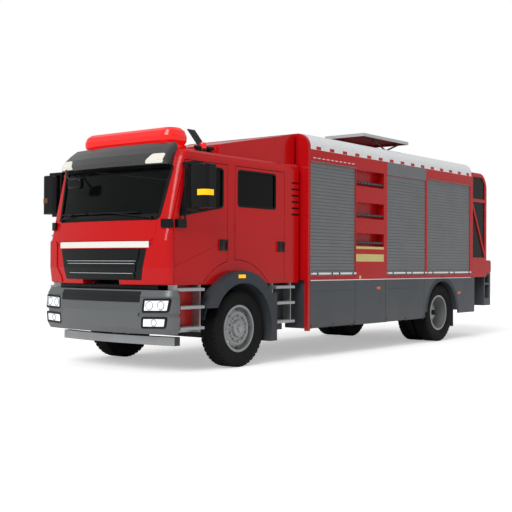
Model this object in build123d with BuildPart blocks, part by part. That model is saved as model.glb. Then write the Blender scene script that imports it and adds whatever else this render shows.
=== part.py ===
from build123d import *
from math import asin, cos, degrees, radians, sqrt
import os

os.makedirs("parts", exist_ok=True)

# Airport fire tender: crew cab, five-shutter rescue body, glazed pump bay at the tail.
# X points forward, Y to the vehicle's left, Z up. The origin lies on the ground at mid-length.

# Stations along the vehicle
wheelbase = 5600
front_overhang = 1450        # front axle to the bumper's nose
cab_behind = 1400            # front axle to the cab's rear wall
cab_gap = 47                 # between cab and body
hoop_length = 60
locker1_length = 1210
bay_length = 870             # the climbing bay
mid_post = 80
locker2_length = 1315
divider = 55
locker3_length = 1720
tail_length = 673
tail_box_length = 270

body_length = (hoop_length + locker1_length + bay_length + mid_post + locker2_length
               + divider + locker3_length)
tail_bumper_length = tail_box_length + 20
overall_length = (front_overhang + cab_behind + cab_gap + body_length + tail_length
                  + tail_bumper_length)
front_x = overall_length / 2 - front_overhang
rear_x = front_x - wheelbase
cab_rear_x = front_x - cab_behind
body_x = cab_rear_x - cab_gap
locker1_x = body_x - hoop_length
bay_x = locker1_x - locker1_length
mid_post_x = bay_x - bay_length
locker2_x = mid_post_x - mid_post
divider_x = locker2_x - locker2_length
locker3_x = divider_x - divider
tail_x = locker3_x - locker3_length
tail_rear_x = tail_x - tail_length
bumper_rear_x = tail_rear_x - tail_bumper_length

# Wheels and axles
tyre_radius = 508
tyre_width = 276
bead_radius = 298
front_track = 2104           # between the front tyres' middles
rear_face = 2400             # over the outer faces of the twin tyres
twin_gap = 40
running_gap = 0.05           # on radius, at pins and hubs
soft_gap = 0.3               # between pieces that only lie against each other
spindle_radius = 45
kingpin_y = 930
kingpin_radius = 24

# Chassis
rail_top = 1000
rail_height = 250
rail_flange = 80
rail_plate = 8
rail_y = 430                 # outer face of a rail
subframe_height = 130

# Cab
cab_half = 1120
cab_bottom = 1095
cab_floor = 1200             # top of the floor
cab_floor_thickness = 40
cab_wall = 50
cab_roof = 2795
cab_front = 1415             # front axle to the cab's face, at mid-width
cab_bow = 5000               # radius of the bowed face in plan
cab_corner = 110
door_gap = 8
door_top = 2655
arch_seam = 900              # radius of the seam above the front wheel
flare_outer = 760
flare_inner = 600
flare_y = 1250

# Body
body_half = 1250
body_floor = rail_top + subframe_height
body_wall = 40
body_top = 3020
deck_top = 3100
hoop_top = 3250
hoop_foot = 400
shutter_bottom = 1185
shutter_top = 2830
header_bottom = 2807
shutter_depth = 24
skirt_bottom = 450
skirt_thickness = 30
sill_bottom = skirt_bottom - 20
rear_arch_outer = 640
rear_arch_inner = 560


def block(x0, x1, y0, y1, z0, z1, mode=Mode.ADD):
    with Locations(((x0 + x1) / 2, (y0 + y1) / 2, (z0 + z1) / 2)):
        Box(abs(x1 - x0), abs(y1 - y0), abs(z1 - z0), mode=mode)


def side_plane(y):
    return Plane(origin=(0, y, 0), x_dir=(1, 0, 0), z_dir=(0, -1, 0))


def rod_x(x0, x1, y, z, radius, mode=Mode.ADD):
    with Locations(Location(((x0 + x1) / 2, y, z), (0, 90, 0))):
        Cylinder(radius, abs(x1 - x0), mode=mode)


def rod_y(x, y0, y1, z, radius, mode=Mode.ADD):
    with Locations(Location((x, (y0 + y1) / 2, z), (90, 0, 0))):
        Cylinder(radius, abs(y1 - y0), mode=mode)


def rod_z(x, y, z0, z1, radius, mode=Mode.ADD):
    with Locations((x, y, (z0 + z1) / 2)):
        Cylinder(radius, abs(z1 - z0), mode=mode)


def side_prism(points, y0, y1, corner=0):
    """A plate drawn in X and Z, between two Y values."""
    with BuildPart() as prism:
        with BuildSketch(side_plane(max(y0, y1))) as outline:
            with BuildLine():
                Polyline(*points, close=True)
            make_face()
            if corner:
                fillet(outline.vertices(), corner)
        extrude(amount=abs(y1 - y0))
    return prism.part


def front_prism(points, x0, x1, corner=0):
    """A plate drawn in Y and Z, between two X values."""
    with BuildPart() as prism:
        with BuildSketch(Plane.YZ.offset(min(x0, x1))) as outline:
            with BuildLine():
                Polyline(*points, close=True)
            make_face()
            if corner:
                fillet(outline.vertices(), corner)
        extrude(amount=abs(x1 - x0))
    return prism.part


def both_sides(points):
    return [points, [(-y, z) for y, z in points]]


def bowed_plan(z, nose_x, half, back_x, bow, corner):
    """Plan section with a bowed front edge and round front corners."""
    edge_x = nose_x - (bow - sqrt(bow ** 2 - half ** 2))
    with BuildSketch(Plane.XY.offset(z)) as plan:
        with BuildLine():
            ThreePointArc((edge_x, -half), (nose_x, 0), (edge_x, half))
            Polyline((edge_x, half), (back_x, half), (back_x, -half), (edge_x, -half))
        make_face()
        fillet(plan.vertices().group_by(Axis.X)[-1], corner)
    return plan.sketch


# Height, nose position ahead of the front axle and inset of each cab section
cab_sections = [
    (cab_bottom, cab_front - 30, 0),
    (1300, cab_front, 0),
    (1640, cab_front, 0),
    (1925, cab_front - 65, 0),
    (2605, cab_front - 225, 0),
    (2700, cab_front - 262, 0),
    (2755, cab_front - 290, 12),
    (2785, cab_front - 320, 40),
    (cab_roof, cab_front - 365, 80),
]


def cab_envelope(inset, lowest=cab_bottom, highest=cab_roof):
    """The cab's outer form, moved inwards by inset and cut level at both ends."""
    with BuildPart() as envelope:
        for z, nose, tuck in cab_sections:
            add(bowed_plan(z, front_x + nose - inset, cab_half - tuck - inset,
                           cab_rear_x + tuck / 2 + inset, cab_bow, cab_corner))
        loft(ruled=True)
        if lowest > cab_bottom:
            block(cab_rear_x - 100, front_x + 2000, -2000, 2000, cab_bottom - 100, lowest,
                  mode=Mode.SUBTRACT)
        if highest < cab_roof:
            block(cab_rear_x - 100, front_x + 2000, -2000, 2000, highest, cab_roof + 100,
                  mode=Mode.SUBTRACT)
    return envelope.part


# Chassis: rails, cross members, subframe, cab mounts, tanks, front underrun bar
rail_front_x = front_x + 1150
rail_rear_x = tail_rear_x + 60
rail_bottom = rail_top - rail_height
cross_members = [front_x + 1080, front_x - 1650, front_x - 2900, rear_x + 750, rear_x - 750,
                 rail_rear_x + 60]
underrun_bottom = 338
underrun_height = 110
underrun_half = 1035

with BuildPart() as chassis_frame:
    with BuildSketch(Plane.YZ.offset(rail_rear_x)):
        for side in (1, -1):
            with Locations((side * (rail_y - rail_flange / 2), rail_top - rail_height / 2)):
                Rectangle(rail_flange, rail_height)
            with Locations((side * (rail_y - rail_plate - rail_flange / 2),
                            rail_top - rail_height / 2)):
                Rectangle(rail_flange, rail_height - 2 * rail_plate, mode=Mode.SUBTRACT)
    extrude(amount=rail_front_x - rail_rear_x)
    for x in cross_members:
        block(x - 30, x + 30, -(rail_y - rail_plate), rail_y - rail_plate, 900, rail_top - 10)
    for side in (1, -1):
        block(tail_x, body_x, side * rail_y, side * (rail_y - 60), rail_top, body_floor)
        for x in (front_x + 1000, front_x - 1250):
            block(x - 60, x + 60, side * rail_y, side * (rail_y - 70), rail_top,
                  cab_floor - cab_floor_thickness)
        block(front_x - 1180, front_x - 740, side * rail_y, side * (rail_y + 560), 430, 900)
        block(front_x + 1060, front_x + 1150, side * 400, side * 370, underrun_bottom + 60,
              rail_bottom)
    with BuildSketch(Plane.XY.offset(underrun_bottom)):
        with BuildLine():
            ThreePointArc((front_x + 1090, -underrun_half), (front_x + 1190, 0),
                          (front_x + 1090, underrun_half))
            Line((front_x + 1090, underrun_half), (front_x + 1000, underrun_half))
            ThreePointArc((front_x + 1000, underrun_half), (front_x + 1100, 0),
                          (front_x + 1000, -underrun_half))
            Line((front_x + 1000, -underrun_half), (front_x + 1090, -underrun_half))
        make_face()
    extrude(amount=underrun_height)


def leaf_spring(axle_x, reach, seat_z):
    """Leaf packs on both sides, with hangers up to the rails."""
    eye_z = rail_bottom - 70
    with BuildPart() as pack:
        for side in (1, -1):
            outer = max(side * (rail_y - 5), side * (rail_y - rail_flange + 5))
            with BuildSketch(side_plane(outer)):
                with BuildLine():
                    ThreePointArc((axle_x - reach, eye_z), (axle_x, seat_z), (axle_x + reach, eye_z))
                    Line((axle_x + reach, eye_z), (axle_x + reach, eye_z + 22))
                    ThreePointArc((axle_x + reach, eye_z + 22), (axle_x, seat_z + 60),
                                  (axle_x - reach, eye_z + 22))
                    Line((axle_x - reach, eye_z + 22), (axle_x - reach, eye_z))
                make_face()
            extrude(amount=rail_flange - 10)
            for end in (-1, 1):
                x = axle_x + end * reach
                block(x - 35, x + 35, side * (rail_y - 5), side * (rail_y - rail_flange + 5),
                      eye_z - 20, rail_bottom)
    return pack.part


beam_z = tyre_radius
eye_height = 116
with BuildPart() as front_axle:
    with BuildSketch(Plane.YZ.offset(front_x - 50)):
        with BuildLine():
            Polyline((-kingpin_y, beam_z + 45), (-kingpin_y, beam_z - 45), (-680, beam_z - 60),
                     (-560, beam_z - 150), (560, beam_z - 150), (680, beam_z - 60),
                     (kingpin_y, beam_z - 45), (kingpin_y, beam_z + 45), (640, beam_z + 40),
                     (500, beam_z - 40), (-500, beam_z - 40), (-640, beam_z + 40), close=True)
        make_face()
    extrude(amount=100)
    for side in (1, -1):
        rod_z(front_x, side * kingpin_y, beam_z - eye_height / 2, beam_z + eye_height / 2, 52)
        rod_z(front_x, side * kingpin_y, beam_z - eye_height, beam_z + eye_height,
              kingpin_radius + running_gap, mode=Mode.SUBTRACT)
        block(front_x - 60, front_x + 60, side * (rail_y - 5), side * (rail_y - rail_flange + 5),
              beam_z - 41, beam_z + 40)
    add(leaf_spring(front_x, 700, beam_z + 30))

hub_y = front_track / 2
spindle_end = hub_y + 90
rear_hub_end = rear_face / 2 - 60
diff_radius = 200
with BuildPart() as rear_axle:
    rod_y(rear_x, -560, 560, tyre_radius, 75)
    rod_y(rear_x, -rear_hub_end, rear_hub_end, tyre_radius, spindle_radius)
    rod_y(rear_x, -130, 130, tyre_radius, diff_radius)
    rod_x(rear_x, rear_x + 290, 0, tyre_radius, 90)
    for side in (1, -1):
        block(rear_x - 70, rear_x + 70, side * (rail_y - 5), side * (rail_y - rail_flange + 5),
              tyre_radius + 50, tyre_radius + 110)
    add(leaf_spring(rear_x, 720, tyre_radius + 95))

# Engine, gearbox, propeller shaft and the pump in the tail
gearbox_x = front_x - 350
shaft_x = front_x - 1080
shaft_front_z = 800
pump_floor = body_floor + body_wall
with BuildPart() as engine_and_pump:
    block(gearbox_x, front_x + 950, -300, 300, 620, 1420)
    block(front_x + 300, front_x + 440, -(rail_y - rail_plate), rail_y - rail_plate, 800, 860)
    rod_x(shaft_x, gearbox_x, 0, shaft_front_z, 180)
    shaft_start = Vector(shaft_x, 0, shaft_front_z)
    shaft_end = Vector(rear_x + 294, 0, tyre_radius)
    with BuildSketch(Plane(origin=shaft_end, z_dir=shaft_start - shaft_end)):
        Circle(45)
    extrude(amount=(shaft_start - shaft_end).length + 5)
    block(tail_rear_x + 170, tail_x - 120, -330, 330, pump_floor, pump_floor + 620)
    for y in (-180, 180):
        rod_x(tail_rear_x + 90, tail_rear_x + 171, y, pump_floor + 300, 75)

# Cab shell: floor, engine tunnel, walls and roof with every opening cut
tunnel_half = 370
tunnel_top = 1560
tunnel_front_x = front_x + 1200
tunnel_rear_x = front_x - 520
front_door_front = 1215
front_door_rear = 190
rear_door_front = 46
rear_door_rear = -1056

windscreen_outline = [(-925, 1905), (925, 1905), (1005, 2590), (-1005, 2590)]
grille_outline = [(-700, 1150), (700, 1150), (795, 1546), (-795, 1546)]
strip_outline = [(-825, 1556), (825, 1556), (822, 1634), (-822, 1634)]
hood_lip = [(-868, 1644), (868, 1644), (876, 1668), (-876, 1668)]
hood_seam = [(900, 1676), (906, 1676), (906, 1892), (900, 1892)]
cheek_outline = [(800, 1108), (1200, 1108), (1200, 1660), (935, 1654), (900, 1622), (900, 1310),
                 (818, 1190)]
cheek_slot = [(826, 1572), (826, 1590), (898, 1628), (898, 1612)]
front_window = [(285, 2093), (285, 2590), (955, 2600), (1123, 1945)]
rear_window = [(-20, 2120), (-20, 2600), (-843, 2600), (-843, 2120)]
window_corner = 45
# Crease lines, each from its rear end to its front end
front_door_creases = [((215, 1852), (1190, 1763)), ((372, 1600), (1190, 1330))]
rear_door_creases = [((-1040, 1700), (30, 1700)), ((-1040, 1530), (30, 1530))]
rear_panel_creases = [((-1395, 1700), (-1070, 1700)), ((-1395, 1530), (-1070, 1530))]
gill_front = -1222
gill_levels = [2053 + 90 * step for step in range(6)]
gill_height = 26
gill_depth = 18


def shifted(points, offset):
    return [(x + offset, z) for x, z in points]


def creases(lines):
    """Shallow grooves that follow the cab's side along the given lines."""
    grooves = []
    for (x0, z0), (x1, z1) in lines:
        band = side_prism(shifted([(x0, z0), (x1, z1), (x1, z1 + crease_height),
                                   (x0, z0 + crease_height)], front_x),
                          cab_half - door_reach, cab_half + 10)
        grooves.append(crease_layer & band)
    return grooves


def door_outline(front, back, front_top, gap):
    """Front and rear edges, with the lower corner cut by the wheel-arch seam."""
    seam = arch_seam + gap
    low = cab_bottom
    with BuildSketch(side_plane(cab_half + 10)) as outline:
        with BuildLine():
            Polyline((front_x + front - gap, low), (front_x + front - gap, 1900),
                     (front_x + front_top - gap, door_top - gap),
                     (front_x + back + gap, door_top - gap), (front_x + back + gap, low),
                     close=True)
        make_face()
        with Locations((front_x, tyre_radius)):
            Circle(seam, mode=Mode.SUBTRACT)
    return outline.sketch


hinge_pin = 5
hinge_barrel = 9
hinge_height = 46
hinge_lug = 18
front_hinge_levels = (1350, 1700)
rear_hinge_levels = (1510, 1830)
hinge_depth = 32


def hinge_x(front):
    return front_x + front - door_gap / 2


cab_form = cab_envelope(0)
door_layer = cab_form - cab_envelope(cab_wall)
door_reach = 130             # how far in from the side a door's front edge wraps
crease_layer = cab_form - cab_envelope(4)
crease_height = 8
glass_layer = cab_envelope(16) - cab_envelope(24)
grille_recess = ((cab_form - cab_envelope(30))
                 & front_prism(grille_outline, front_x + 1250, front_x + 1500))
strip_recess = ((cab_form - cab_envelope(20))
                & front_prism(strip_outline, front_x + 1150, front_x + 1500))

rib_reach = 14
rib_layer = cab_envelope(-rib_reach) - cab_form
slot_cut = cab_form - cab_envelope(12)
# Lower edge, upper edge and half-width of each slat
grille_slats = [(1168, 1228, 600), (1246, 1350, 620), (1368, 1390, 650), (1408, 1530, 665)]


def grille_slat(low, high, half):
    slope = (high - low) * 0.2
    return front_prism([(-half, low), (half, low), (half + slope, high),
                        (-half - slope, high)], front_x + 1250, front_x + 1500)


front_door_frame = (front_door_front, front_door_rear, 1010)
rear_door_frame = (rear_door_front, rear_door_rear, rear_door_front)
with BuildPart() as door_openings:
    for frame_line in (front_door_frame, rear_door_frame):
        extrude(door_outline(*frame_line, 0), amount=door_reach)

with BuildPart() as cab_shell:
    add(cab_form)
    add(cab_envelope(cab_wall, cab_floor, cab_roof - 45), mode=Mode.SUBTRACT)
    block(cab_rear_x + cab_wall, front_x + 1200, -(cab_half - cab_wall), cab_half - cab_wall,
          cab_bottom - 10, cab_floor - cab_floor_thickness, mode=Mode.SUBTRACT)
    block(tunnel_rear_x, tunnel_front_x, -tunnel_half, tunnel_half,
          cab_floor - cab_floor_thickness, tunnel_top)
    block(tunnel_rear_x + 30, tunnel_front_x + 400, -(tunnel_half - 30), tunnel_half - 30,
          cab_bottom - 20, tunnel_top - 30, mode=Mode.SUBTRACT)
    add(front_prism(windscreen_outline, front_x + 900, front_x + 1500, 60), mode=Mode.SUBTRACT)
    add(door_openings.part, mode=Mode.SUBTRACT)
    mirror(door_openings.part, about=Plane.XZ, mode=Mode.SUBTRACT)
    for side in (1, -1):
        block(cab_rear_x + cab_wall, front_x + 1150, side * tunnel_half,
              side * (cab_half - cab_wall - door_gap), cab_floor - cab_floor_thickness, cab_floor)
    for groove in creases(rear_panel_creases):
        add(groove, mode=Mode.SUBTRACT)
        mirror(groove, about=Plane.XZ, mode=Mode.SUBTRACT)
    add(rib_layer & front_prism(hood_lip, front_x + 1250, front_x + 1500))
    for outline in both_sides(cheek_outline):
        add(rib_layer & front_prism(outline, front_x + front_door_front + 10, front_x + 1500))
    for outline in both_sides(hood_seam):
        add(crease_layer & front_prism(outline, front_x + 1150, front_x + 1500),
            mode=Mode.SUBTRACT)
    for outline in both_sides(cheek_slot):
        add(slot_cut & front_prism(outline, front_x + 1250, front_x + 1500), mode=Mode.SUBTRACT)
    for side in (1, -1):
        rod_y(front_x, side * (cab_half - cab_wall), side * (cab_half + 10), tyre_radius,
              flare_outer + soft_gap, mode=Mode.SUBTRACT)
        for z in gill_levels:
            block(cab_rear_x - 10, front_x + gill_front, side * (cab_half - gill_depth),
                  side * (cab_half + 10), z, z + gill_height, mode=Mode.SUBTRACT)
        for front, levels in ((front_door_front, front_hinge_levels),
                              (rear_door_front, rear_hinge_levels)):
            x = hinge_x(front)
            y = side * cab_half
            for z in levels:
                lug_start = hinge_height / 2 + 1
                rod_z(x, y, z - lug_start, z + lug_start, hinge_barrel + 3, mode=Mode.SUBTRACT)
                for end in (-1, 1):
                    block(x - hinge_pin, x + 36, y - side * hinge_depth, y + side * hinge_pin,
                          z + end * lug_start, z + end * (lug_start + hinge_lug))
                rod_z(x, y, z - lug_start - hinge_lug, z + lug_start + hinge_lug, hinge_pin)
    add(grille_recess, mode=Mode.SUBTRACT)
    add(strip_recess, mode=Mode.SUBTRACT)

# Panels that lie in the cab's bowed front
with BuildPart() as windscreen:
    add(glass_layer)
    add(front_prism(windscreen_outline, front_x + 900, front_x + 1500, 60), mode=Mode.INTERSECT)

with BuildPart() as front_grille:
    add(grille_recess)
    for slat in grille_slats:
        add(rib_layer & grille_slat(*slat))

with BuildPart() as strip_lamp:
    add(strip_recess)


handle_low = 1528
handle_high = 1674
handle_reach = 16


def handle_plate(x0, x1, low, high, y0, y1):
    return side_prism(shifted([(x0, low), (x1, low), (x1, high), (x0, high)], front_x), y0, y1,
                      14)


def cab_door(front, back, front_top, window, handle_x, lines, levels):
    """A left-hand door with its cut window, hinge barrels, creases and pull handle."""
    x = hinge_x(front)
    with BuildPart() as door:
        extrude(door_outline(front, back, front_top, door_gap), amount=door_reach)
        add(door_layer, mode=Mode.INTERSECT)
        add(side_prism(shifted(window, front_x), cab_half - door_reach - 5, cab_half + 15,
                       window_corner), mode=Mode.SUBTRACT)
        for groove in creases(lines):
            add(groove, mode=Mode.SUBTRACT)
        for z in levels:
            reach = hinge_height / 2 + hinge_lug + 6
            block(x - 18, x + 5, cab_half - hinge_depth - 6, cab_half + 5, z - reach, z + reach,
                  mode=Mode.SUBTRACT)
            block(x - 20, x, cab_half - hinge_barrel, cab_half - 1, z - hinge_height / 2,
                  z + hinge_height / 2)
            rod_z(x, cab_half, z - hinge_height / 2, z + hinge_height / 2, hinge_barrel)
            rod_z(x, cab_half, z - hinge_height, z + hinge_height, hinge_pin + running_gap,
                  mode=Mode.SUBTRACT)
        add(handle_plate(handle_x - 87, handle_x + 87, handle_low, handle_high, cab_half - 5,
                         cab_half + handle_reach))
        add(handle_plate(handle_x - 66, handle_x - 16, handle_low + 20, handle_high - 20,
                         cab_half + 2, cab_half + 30), mode=Mode.SUBTRACT)
    return door.part


def door_glass(window):
    with BuildPart() as pane:
        with BuildSketch(side_plane(cab_half)) as outline:
            with BuildLine():
                Polyline(*shifted(window, front_x), close=True)
            make_face()
            fillet(outline.vertices(), window_corner)
            offset(amount=-soft_gap)
        extrude(amount=door_reach)
        add(glass_layer, mode=Mode.INTERSECT)
    return pane.part


mirror_split = 2176
mirror_y = 1390
mirror_depth = 190
mirror_width = 285


def rear_mirror():
    """Left-hand mirror: a foot on the door, a tube with two arms and a tall housing."""
    x = front_x + 1000
    tube_x = front_x + 1060
    tube_y = cab_half + 45
    with BuildPart() as housing:
        with BuildSketch(Plane.XY.offset(2040)) as plan:
            with Locations((x, mirror_y)):
                Rectangle(mirror_depth, mirror_width)
            fillet(plan.vertices().group_by(Axis.X)[-1], 70)
        extrude(amount=540)
        fillet(housing.faces().filter_by(Axis.Z).sort_by(Axis.Z)[-1].edges(), 20)
        with BuildSketch(Plane.XY.offset(mirror_split), mode=Mode.PRIVATE) as ring:
            with Locations((x, mirror_y)):
                Rectangle(mirror_depth + 10, mirror_width + 10)
                Rectangle(mirror_depth - 16, mirror_width - 16, mode=Mode.SUBTRACT)
        extrude(ring.sketch, amount=8, mode=Mode.SUBTRACT)
        block(front_x + 1040, front_x + 1190, cab_half - 60, tube_y + 12, 1800, 1905)
        rod_z(tube_x, tube_y, 1880, 2600, 13)
        block(tube_x - 60, tube_x + 15, tube_y - 13, mirror_y - 60, 2000, 2045)
        block(tube_x - 100, tube_x + 15, cab_half + 8, mirror_y, 2575, 2612)
        block(tube_x - 100, tube_x - 52, cab_half - 60, cab_half + 10, 2575, 2612)
        add(cab_form, mode=Mode.SUBTRACT)
    return housing.part


left_side = {
    "door_front": cab_door(*front_door_frame, front_window, 283, front_door_creases,
                           front_hinge_levels),
    "door_rear": cab_door(*rear_door_frame, rear_window, -962, rear_door_creases,
                          rear_hinge_levels),
    "glass_front": door_glass(front_window),
    "glass_rear": door_glass(rear_window),
    "mirror": rear_mirror(),
}

# Bumper, with recesses that its lamps fill
bumper_half = 1222
bumper_bottom = 490
bumper_top = 1030
bumper_wall = 35
bumper_back_x = front_x + 1195
bumper_corner = 200
bumper_sections = [(bumper_bottom, 45), (bumper_bottom + 70, 8), (760, 0), (960, 12),
                   (bumper_top, 50)]
upper_lamp = [(770, 765), (1130, 775), (1150, 925), (785, 915)]
lower_lamp = [(755, 570), (1090, 580), (1115, 700), (765, 690)]


def bumper_envelope(inset):
    with BuildPart() as envelope:
        for z, tuck in bumper_sections:
            add(bowed_plan(z, front_x + front_overhang - tuck - inset,
                           bumper_half - tuck / 2 - inset, front_x + 900, 5200,
                           bumper_corner))
        loft(ruled=True)
        block(front_x, bumper_back_x, -2000, 2000, 0, 2000, mode=Mode.SUBTRACT)
    return envelope.part


bumper_band = 936            # a groove sets off the dark upper band
bumper_slot = (706, 752)     # a recess between the two lamps of each side
slot_inner_y = 700

bumper_form = bumper_envelope(0)
bumper_inner = bumper_envelope(bumper_wall)
lamp_layer = bumper_envelope(4) - bumper_inner
lamp_prisms = [front_prism(outline, front_x + 1150, front_x + 1500, 25)
               for lamp in (upper_lamp, lower_lamp) for outline in both_sides(lamp)]

with BuildPart() as groove_cut:
    block(front_x, front_x + 2000, -2000, 2000, bumper_band, bumper_band + 7)
bumper_groove = (bumper_form - bumper_envelope(7)) & groove_cut.part
slot_layer = bumper_form - bumper_envelope(16)
bumper_recesses = []
for side in (1, -1):
    with BuildPart() as recess_cut:
        block(front_x, front_x + 2000, side * slot_inner_y, side * 2000, *bumper_slot)
    bumper_recesses.append(slot_layer & recess_cut.part)

with BuildPart() as lip:
    add(bumper_form)
    block(front_x, front_x + 2000, -2000, 2000, 0, bumper_top - 30, mode=Mode.SUBTRACT)

with BuildPart() as front_bumper:
    add(bumper_form)
    add(bumper_inner, mode=Mode.SUBTRACT)
    add(lip.part)
    for prism in lamp_prisms:
        add(prism, mode=Mode.SUBTRACT)
    add(bumper_groove, mode=Mode.SUBTRACT)
    for recess in bumper_recesses:
        add(recess, mode=Mode.SUBTRACT)
    for side in (1, -1):
        block(rail_front_x, front_x + front_overhang - 40, side * 425, side * 355, 800, 900)

with BuildPart() as lamps:
    for prism in lamp_prisms:
        add(lamp_layer & prism)

# Cab roof and visor
visor_half = 985
# Height, nose position ahead of the front axle and inset of each visor section
visor_sections = [(2590, 1308, 0), (2648, 1322, 0), (2735, 1258, 8), (2820, 1160, 20),
                  (2885, 1075, 40)]
with BuildPart() as sun_visor:
    for z, nose, tuck in visor_sections:
        add(bowed_plan(z, front_x + nose, visor_half - tuck, front_x + 850, cab_bow, 60))
    loft(ruled=True)
    block(front_x, front_x + 985, -2000, 2000, 2500, 3000, mode=Mode.SUBTRACT)
    add(cab_form, mode=Mode.SUBTRACT)

light_bar_x = front_x + 790
light_bar_foot = 2888
with BuildPart() as roof_lights:
    block(light_bar_x - 180, light_bar_x + 180, -760, 760, cab_roof, light_bar_foot)
    for z, width, half in ((light_bar_foot, 380, 815), (2930, 430, 840), (2990, 430, 845),
                           (3060, 360, 825), (3100, 240, 780)):
        with BuildSketch(Plane.XY.offset(z)) as plan:
            with Locations((light_bar_x, 0)):
                Rectangle(width, 2 * half)
            fillet(plan.vertices(), width * 0.42)
    loft(ruled=True)

fairing_half = 1040
fairing_wall = 20
with BuildPart() as roof_fairing:
    fairing_profile = [(front_x + 290, cab_roof), (front_x + 250, 2925),
                       (cab_rear_x + 5, 3235), (cab_rear_x + 5, cab_roof)]
    add(side_prism(fairing_profile, -fairing_half, fairing_half))
    fillet(roof_fairing.edges().filter_by(Axis.X, reverse=True).group_by(Axis.Z)[-1], 1)
    add(side_prism([(front_x + 250, cab_roof - 1), (front_x + 230, 2905),
                    (cab_rear_x - 5, 3212), (cab_rear_x - 5, cab_roof - 1)],
                   -(fairing_half - fairing_wall), fairing_half - fairing_wall),
        mode=Mode.SUBTRACT)

# Inside the cab: dashboard with wheel, two front seats and a rear bench
with BuildPart() as dashboard:
    add(cab_envelope(cab_wall + soft_gap, 1700, 1880))
    block(cab_rear_x, front_x + 880, -2000, 2000, 1600, 2000, mode=Mode.SUBTRACT)
    for side in (1, -1):
        block(cab_rear_x, front_x + 2000, side * 965, side * 2000, 1600, 2000,
              mode=Mode.SUBTRACT)

seat_x = front_x + 430
with BuildPart() as cab_interior:
    add(dashboard.part)
    for y in (-640, 640):
        block(seat_x - 200, seat_x + 200, y - 150, y + 150, cab_floor, 1480)
        block(seat_x - 230, seat_x + 240, y - 240, y + 240, 1480, 1590)
        block(seat_x - 330, seat_x - 220, y - 240, y + 240, 1500, 2200)
        block(seat_x - 320, seat_x - 240, y - 130, y + 130, 2200, 2380)
    block(front_x - 1300, front_x - 830, -1020, 1020, cab_floor, 1590)
    block(front_x - 1345, front_x - 1240, -1020, 1020, 1590, 2300)
    with BuildSketch(Plane(origin=(front_x + 800, 620, 1900), z_dir=(-1, 0, 1.2))):
        Circle(225)
        Circle(195, mode=Mode.SUBTRACT)
        Rectangle(60, 420)
    extrude(amount=30)
    wheel_axis = Plane(origin=(front_x + 800, 620, 1900), z_dir=(-1, 0, 1.2))
    with BuildSketch(wheel_axis.offset(-240)):
        Circle(32)
    extrude(amount=250)

# Steps under the doors
step_inner = 1000
step_outer = 1215
front_step_front = 1185
front_step_rear = 745
rear_step_front = -740
rear_step_rear = -1180
with BuildPart() as cab_steps:
    for side in (1, -1):
        for ahead, behind, low in ((front_step_front, front_step_rear, 500),
                                   (rear_step_front, rear_step_rear, 540)):
            block(front_x + behind, front_x + ahead, side * step_inner, side * (step_inner + 12),
                  low, cab_bottom)
            for z in (540, 800, 1020):
                block(front_x + behind, front_x + ahead, side * (step_inner + 11),
                      side * step_outer, z, z + 35)
            for x in (behind, ahead - 14):
                block(front_x + x, front_x + x + 14, side * (step_inner + 11),
                      side * (step_outer - 70), low, cab_bottom)

# Mudguards: flares, liners, the guard behind the front wheel and the rear mud flaps
liner = 12
flare_inner_y = cab_half - cab_wall + 5
flap_bottom = 238
guard_rear = -722
guard_top = 967
guard_bottom = 312


def arch_ring(axle_x, inner, outer, y0, y1, front_low, rear_low):
    """A half ring round a wheel, cut level at its two ends."""
    with BuildPart() as ring:
        with BuildSketch(side_plane(max(y0, y1))):
            with Locations((axle_x, tyre_radius)):
                Circle(outer)
                Circle(inner, mode=Mode.SUBTRACT)
            for low, ahead in ((front_low, 1), (rear_low, -1)):
                with Locations((axle_x + ahead * 1000, low - 1000)):
                    Rectangle(2000, 2000, mode=Mode.SUBTRACT)
        extrude(amount=abs(y1 - y0))
    return ring.part


with BuildPart() as mudguards:
    for side in (1, -1):
        add(arch_ring(front_x, flare_inner, flare_outer, side * flare_inner_y, side * flare_y,
                      800, guard_top))
        add(arch_ring(front_x, flare_inner, flare_inner + liner, side * 700,
                      side * flare_inner_y, 640, 400))
        add(arch_ring(rear_x, rear_arch_inner, rear_arch_outer, side * 1190, side * body_half,
                      540, 540))
        add(arch_ring(rear_x, rear_arch_inner, rear_arch_inner + liner, side * 580, side * 1190,
                      540, 540))
        with BuildSketch(side_plane(max(side * flare_inner_y, side * flare_y))):
            with Locations((front_x + (guard_rear - 400) / 2, (guard_top + guard_bottom) / 2)):
                Rectangle(-400 - guard_rear, guard_top - guard_bottom)
            with Locations((front_x, tyre_radius)):
                Circle(flare_inner, mode=Mode.SUBTRACT)
        extrude(amount=flare_y - flare_inner_y)
        block(rear_x - rear_arch_inner - liner, rear_x - rear_arch_inner, side * 600,
              side * 1180, flap_bottom, 545)

# Body: hollow shell with lockers, climbing bays, deck and the front hoop
bulkhead = 20
tank_half = 500
bay_depth = 160
pocket_depth = 130
pockets = [(2575, 2820), (2076, 2323), (1644, 1844)]
hatch_front_x = front_x - 3350
hatch_length = 1450
hatch_rear_x = hatch_front_x - hatch_length
hatch_inner_y = 250
hatch_outer_y = 1000
rim = 25
rim_top = 3180
arm_length = 900
arm_thickness = 12
arm_height = 26
arm_pin = 8
roller = 12
base_pivot_z = deck_top + 25
lid_bottom = 3430
lid_thickness = 45
lid_pivot_z = lid_bottom - 20
lid_travel = lid_bottom - rim_top - 5
arm_angle = degrees(asin((lid_pivot_z - base_pivot_z) / arm_length))
pivot_x = hatch_rear_x + 200
arm_reach = arm_length * cos(radians(arm_angle))
hatch_middle_y = (hatch_inner_y + hatch_outer_y) / 2
lockers = [(bay_x, locker1_x, shutter_top), (divider_x, locker2_x, header_bottom),
           (tail_x + body_wall, locker3_x, shutter_top)]


def hatch_sides(near, far):
    """Two Y ranges, mirrored about the hatch's middle."""
    return [(near, far), (2 * hatch_middle_y - near, 2 * hatch_middle_y - far)]


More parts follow.
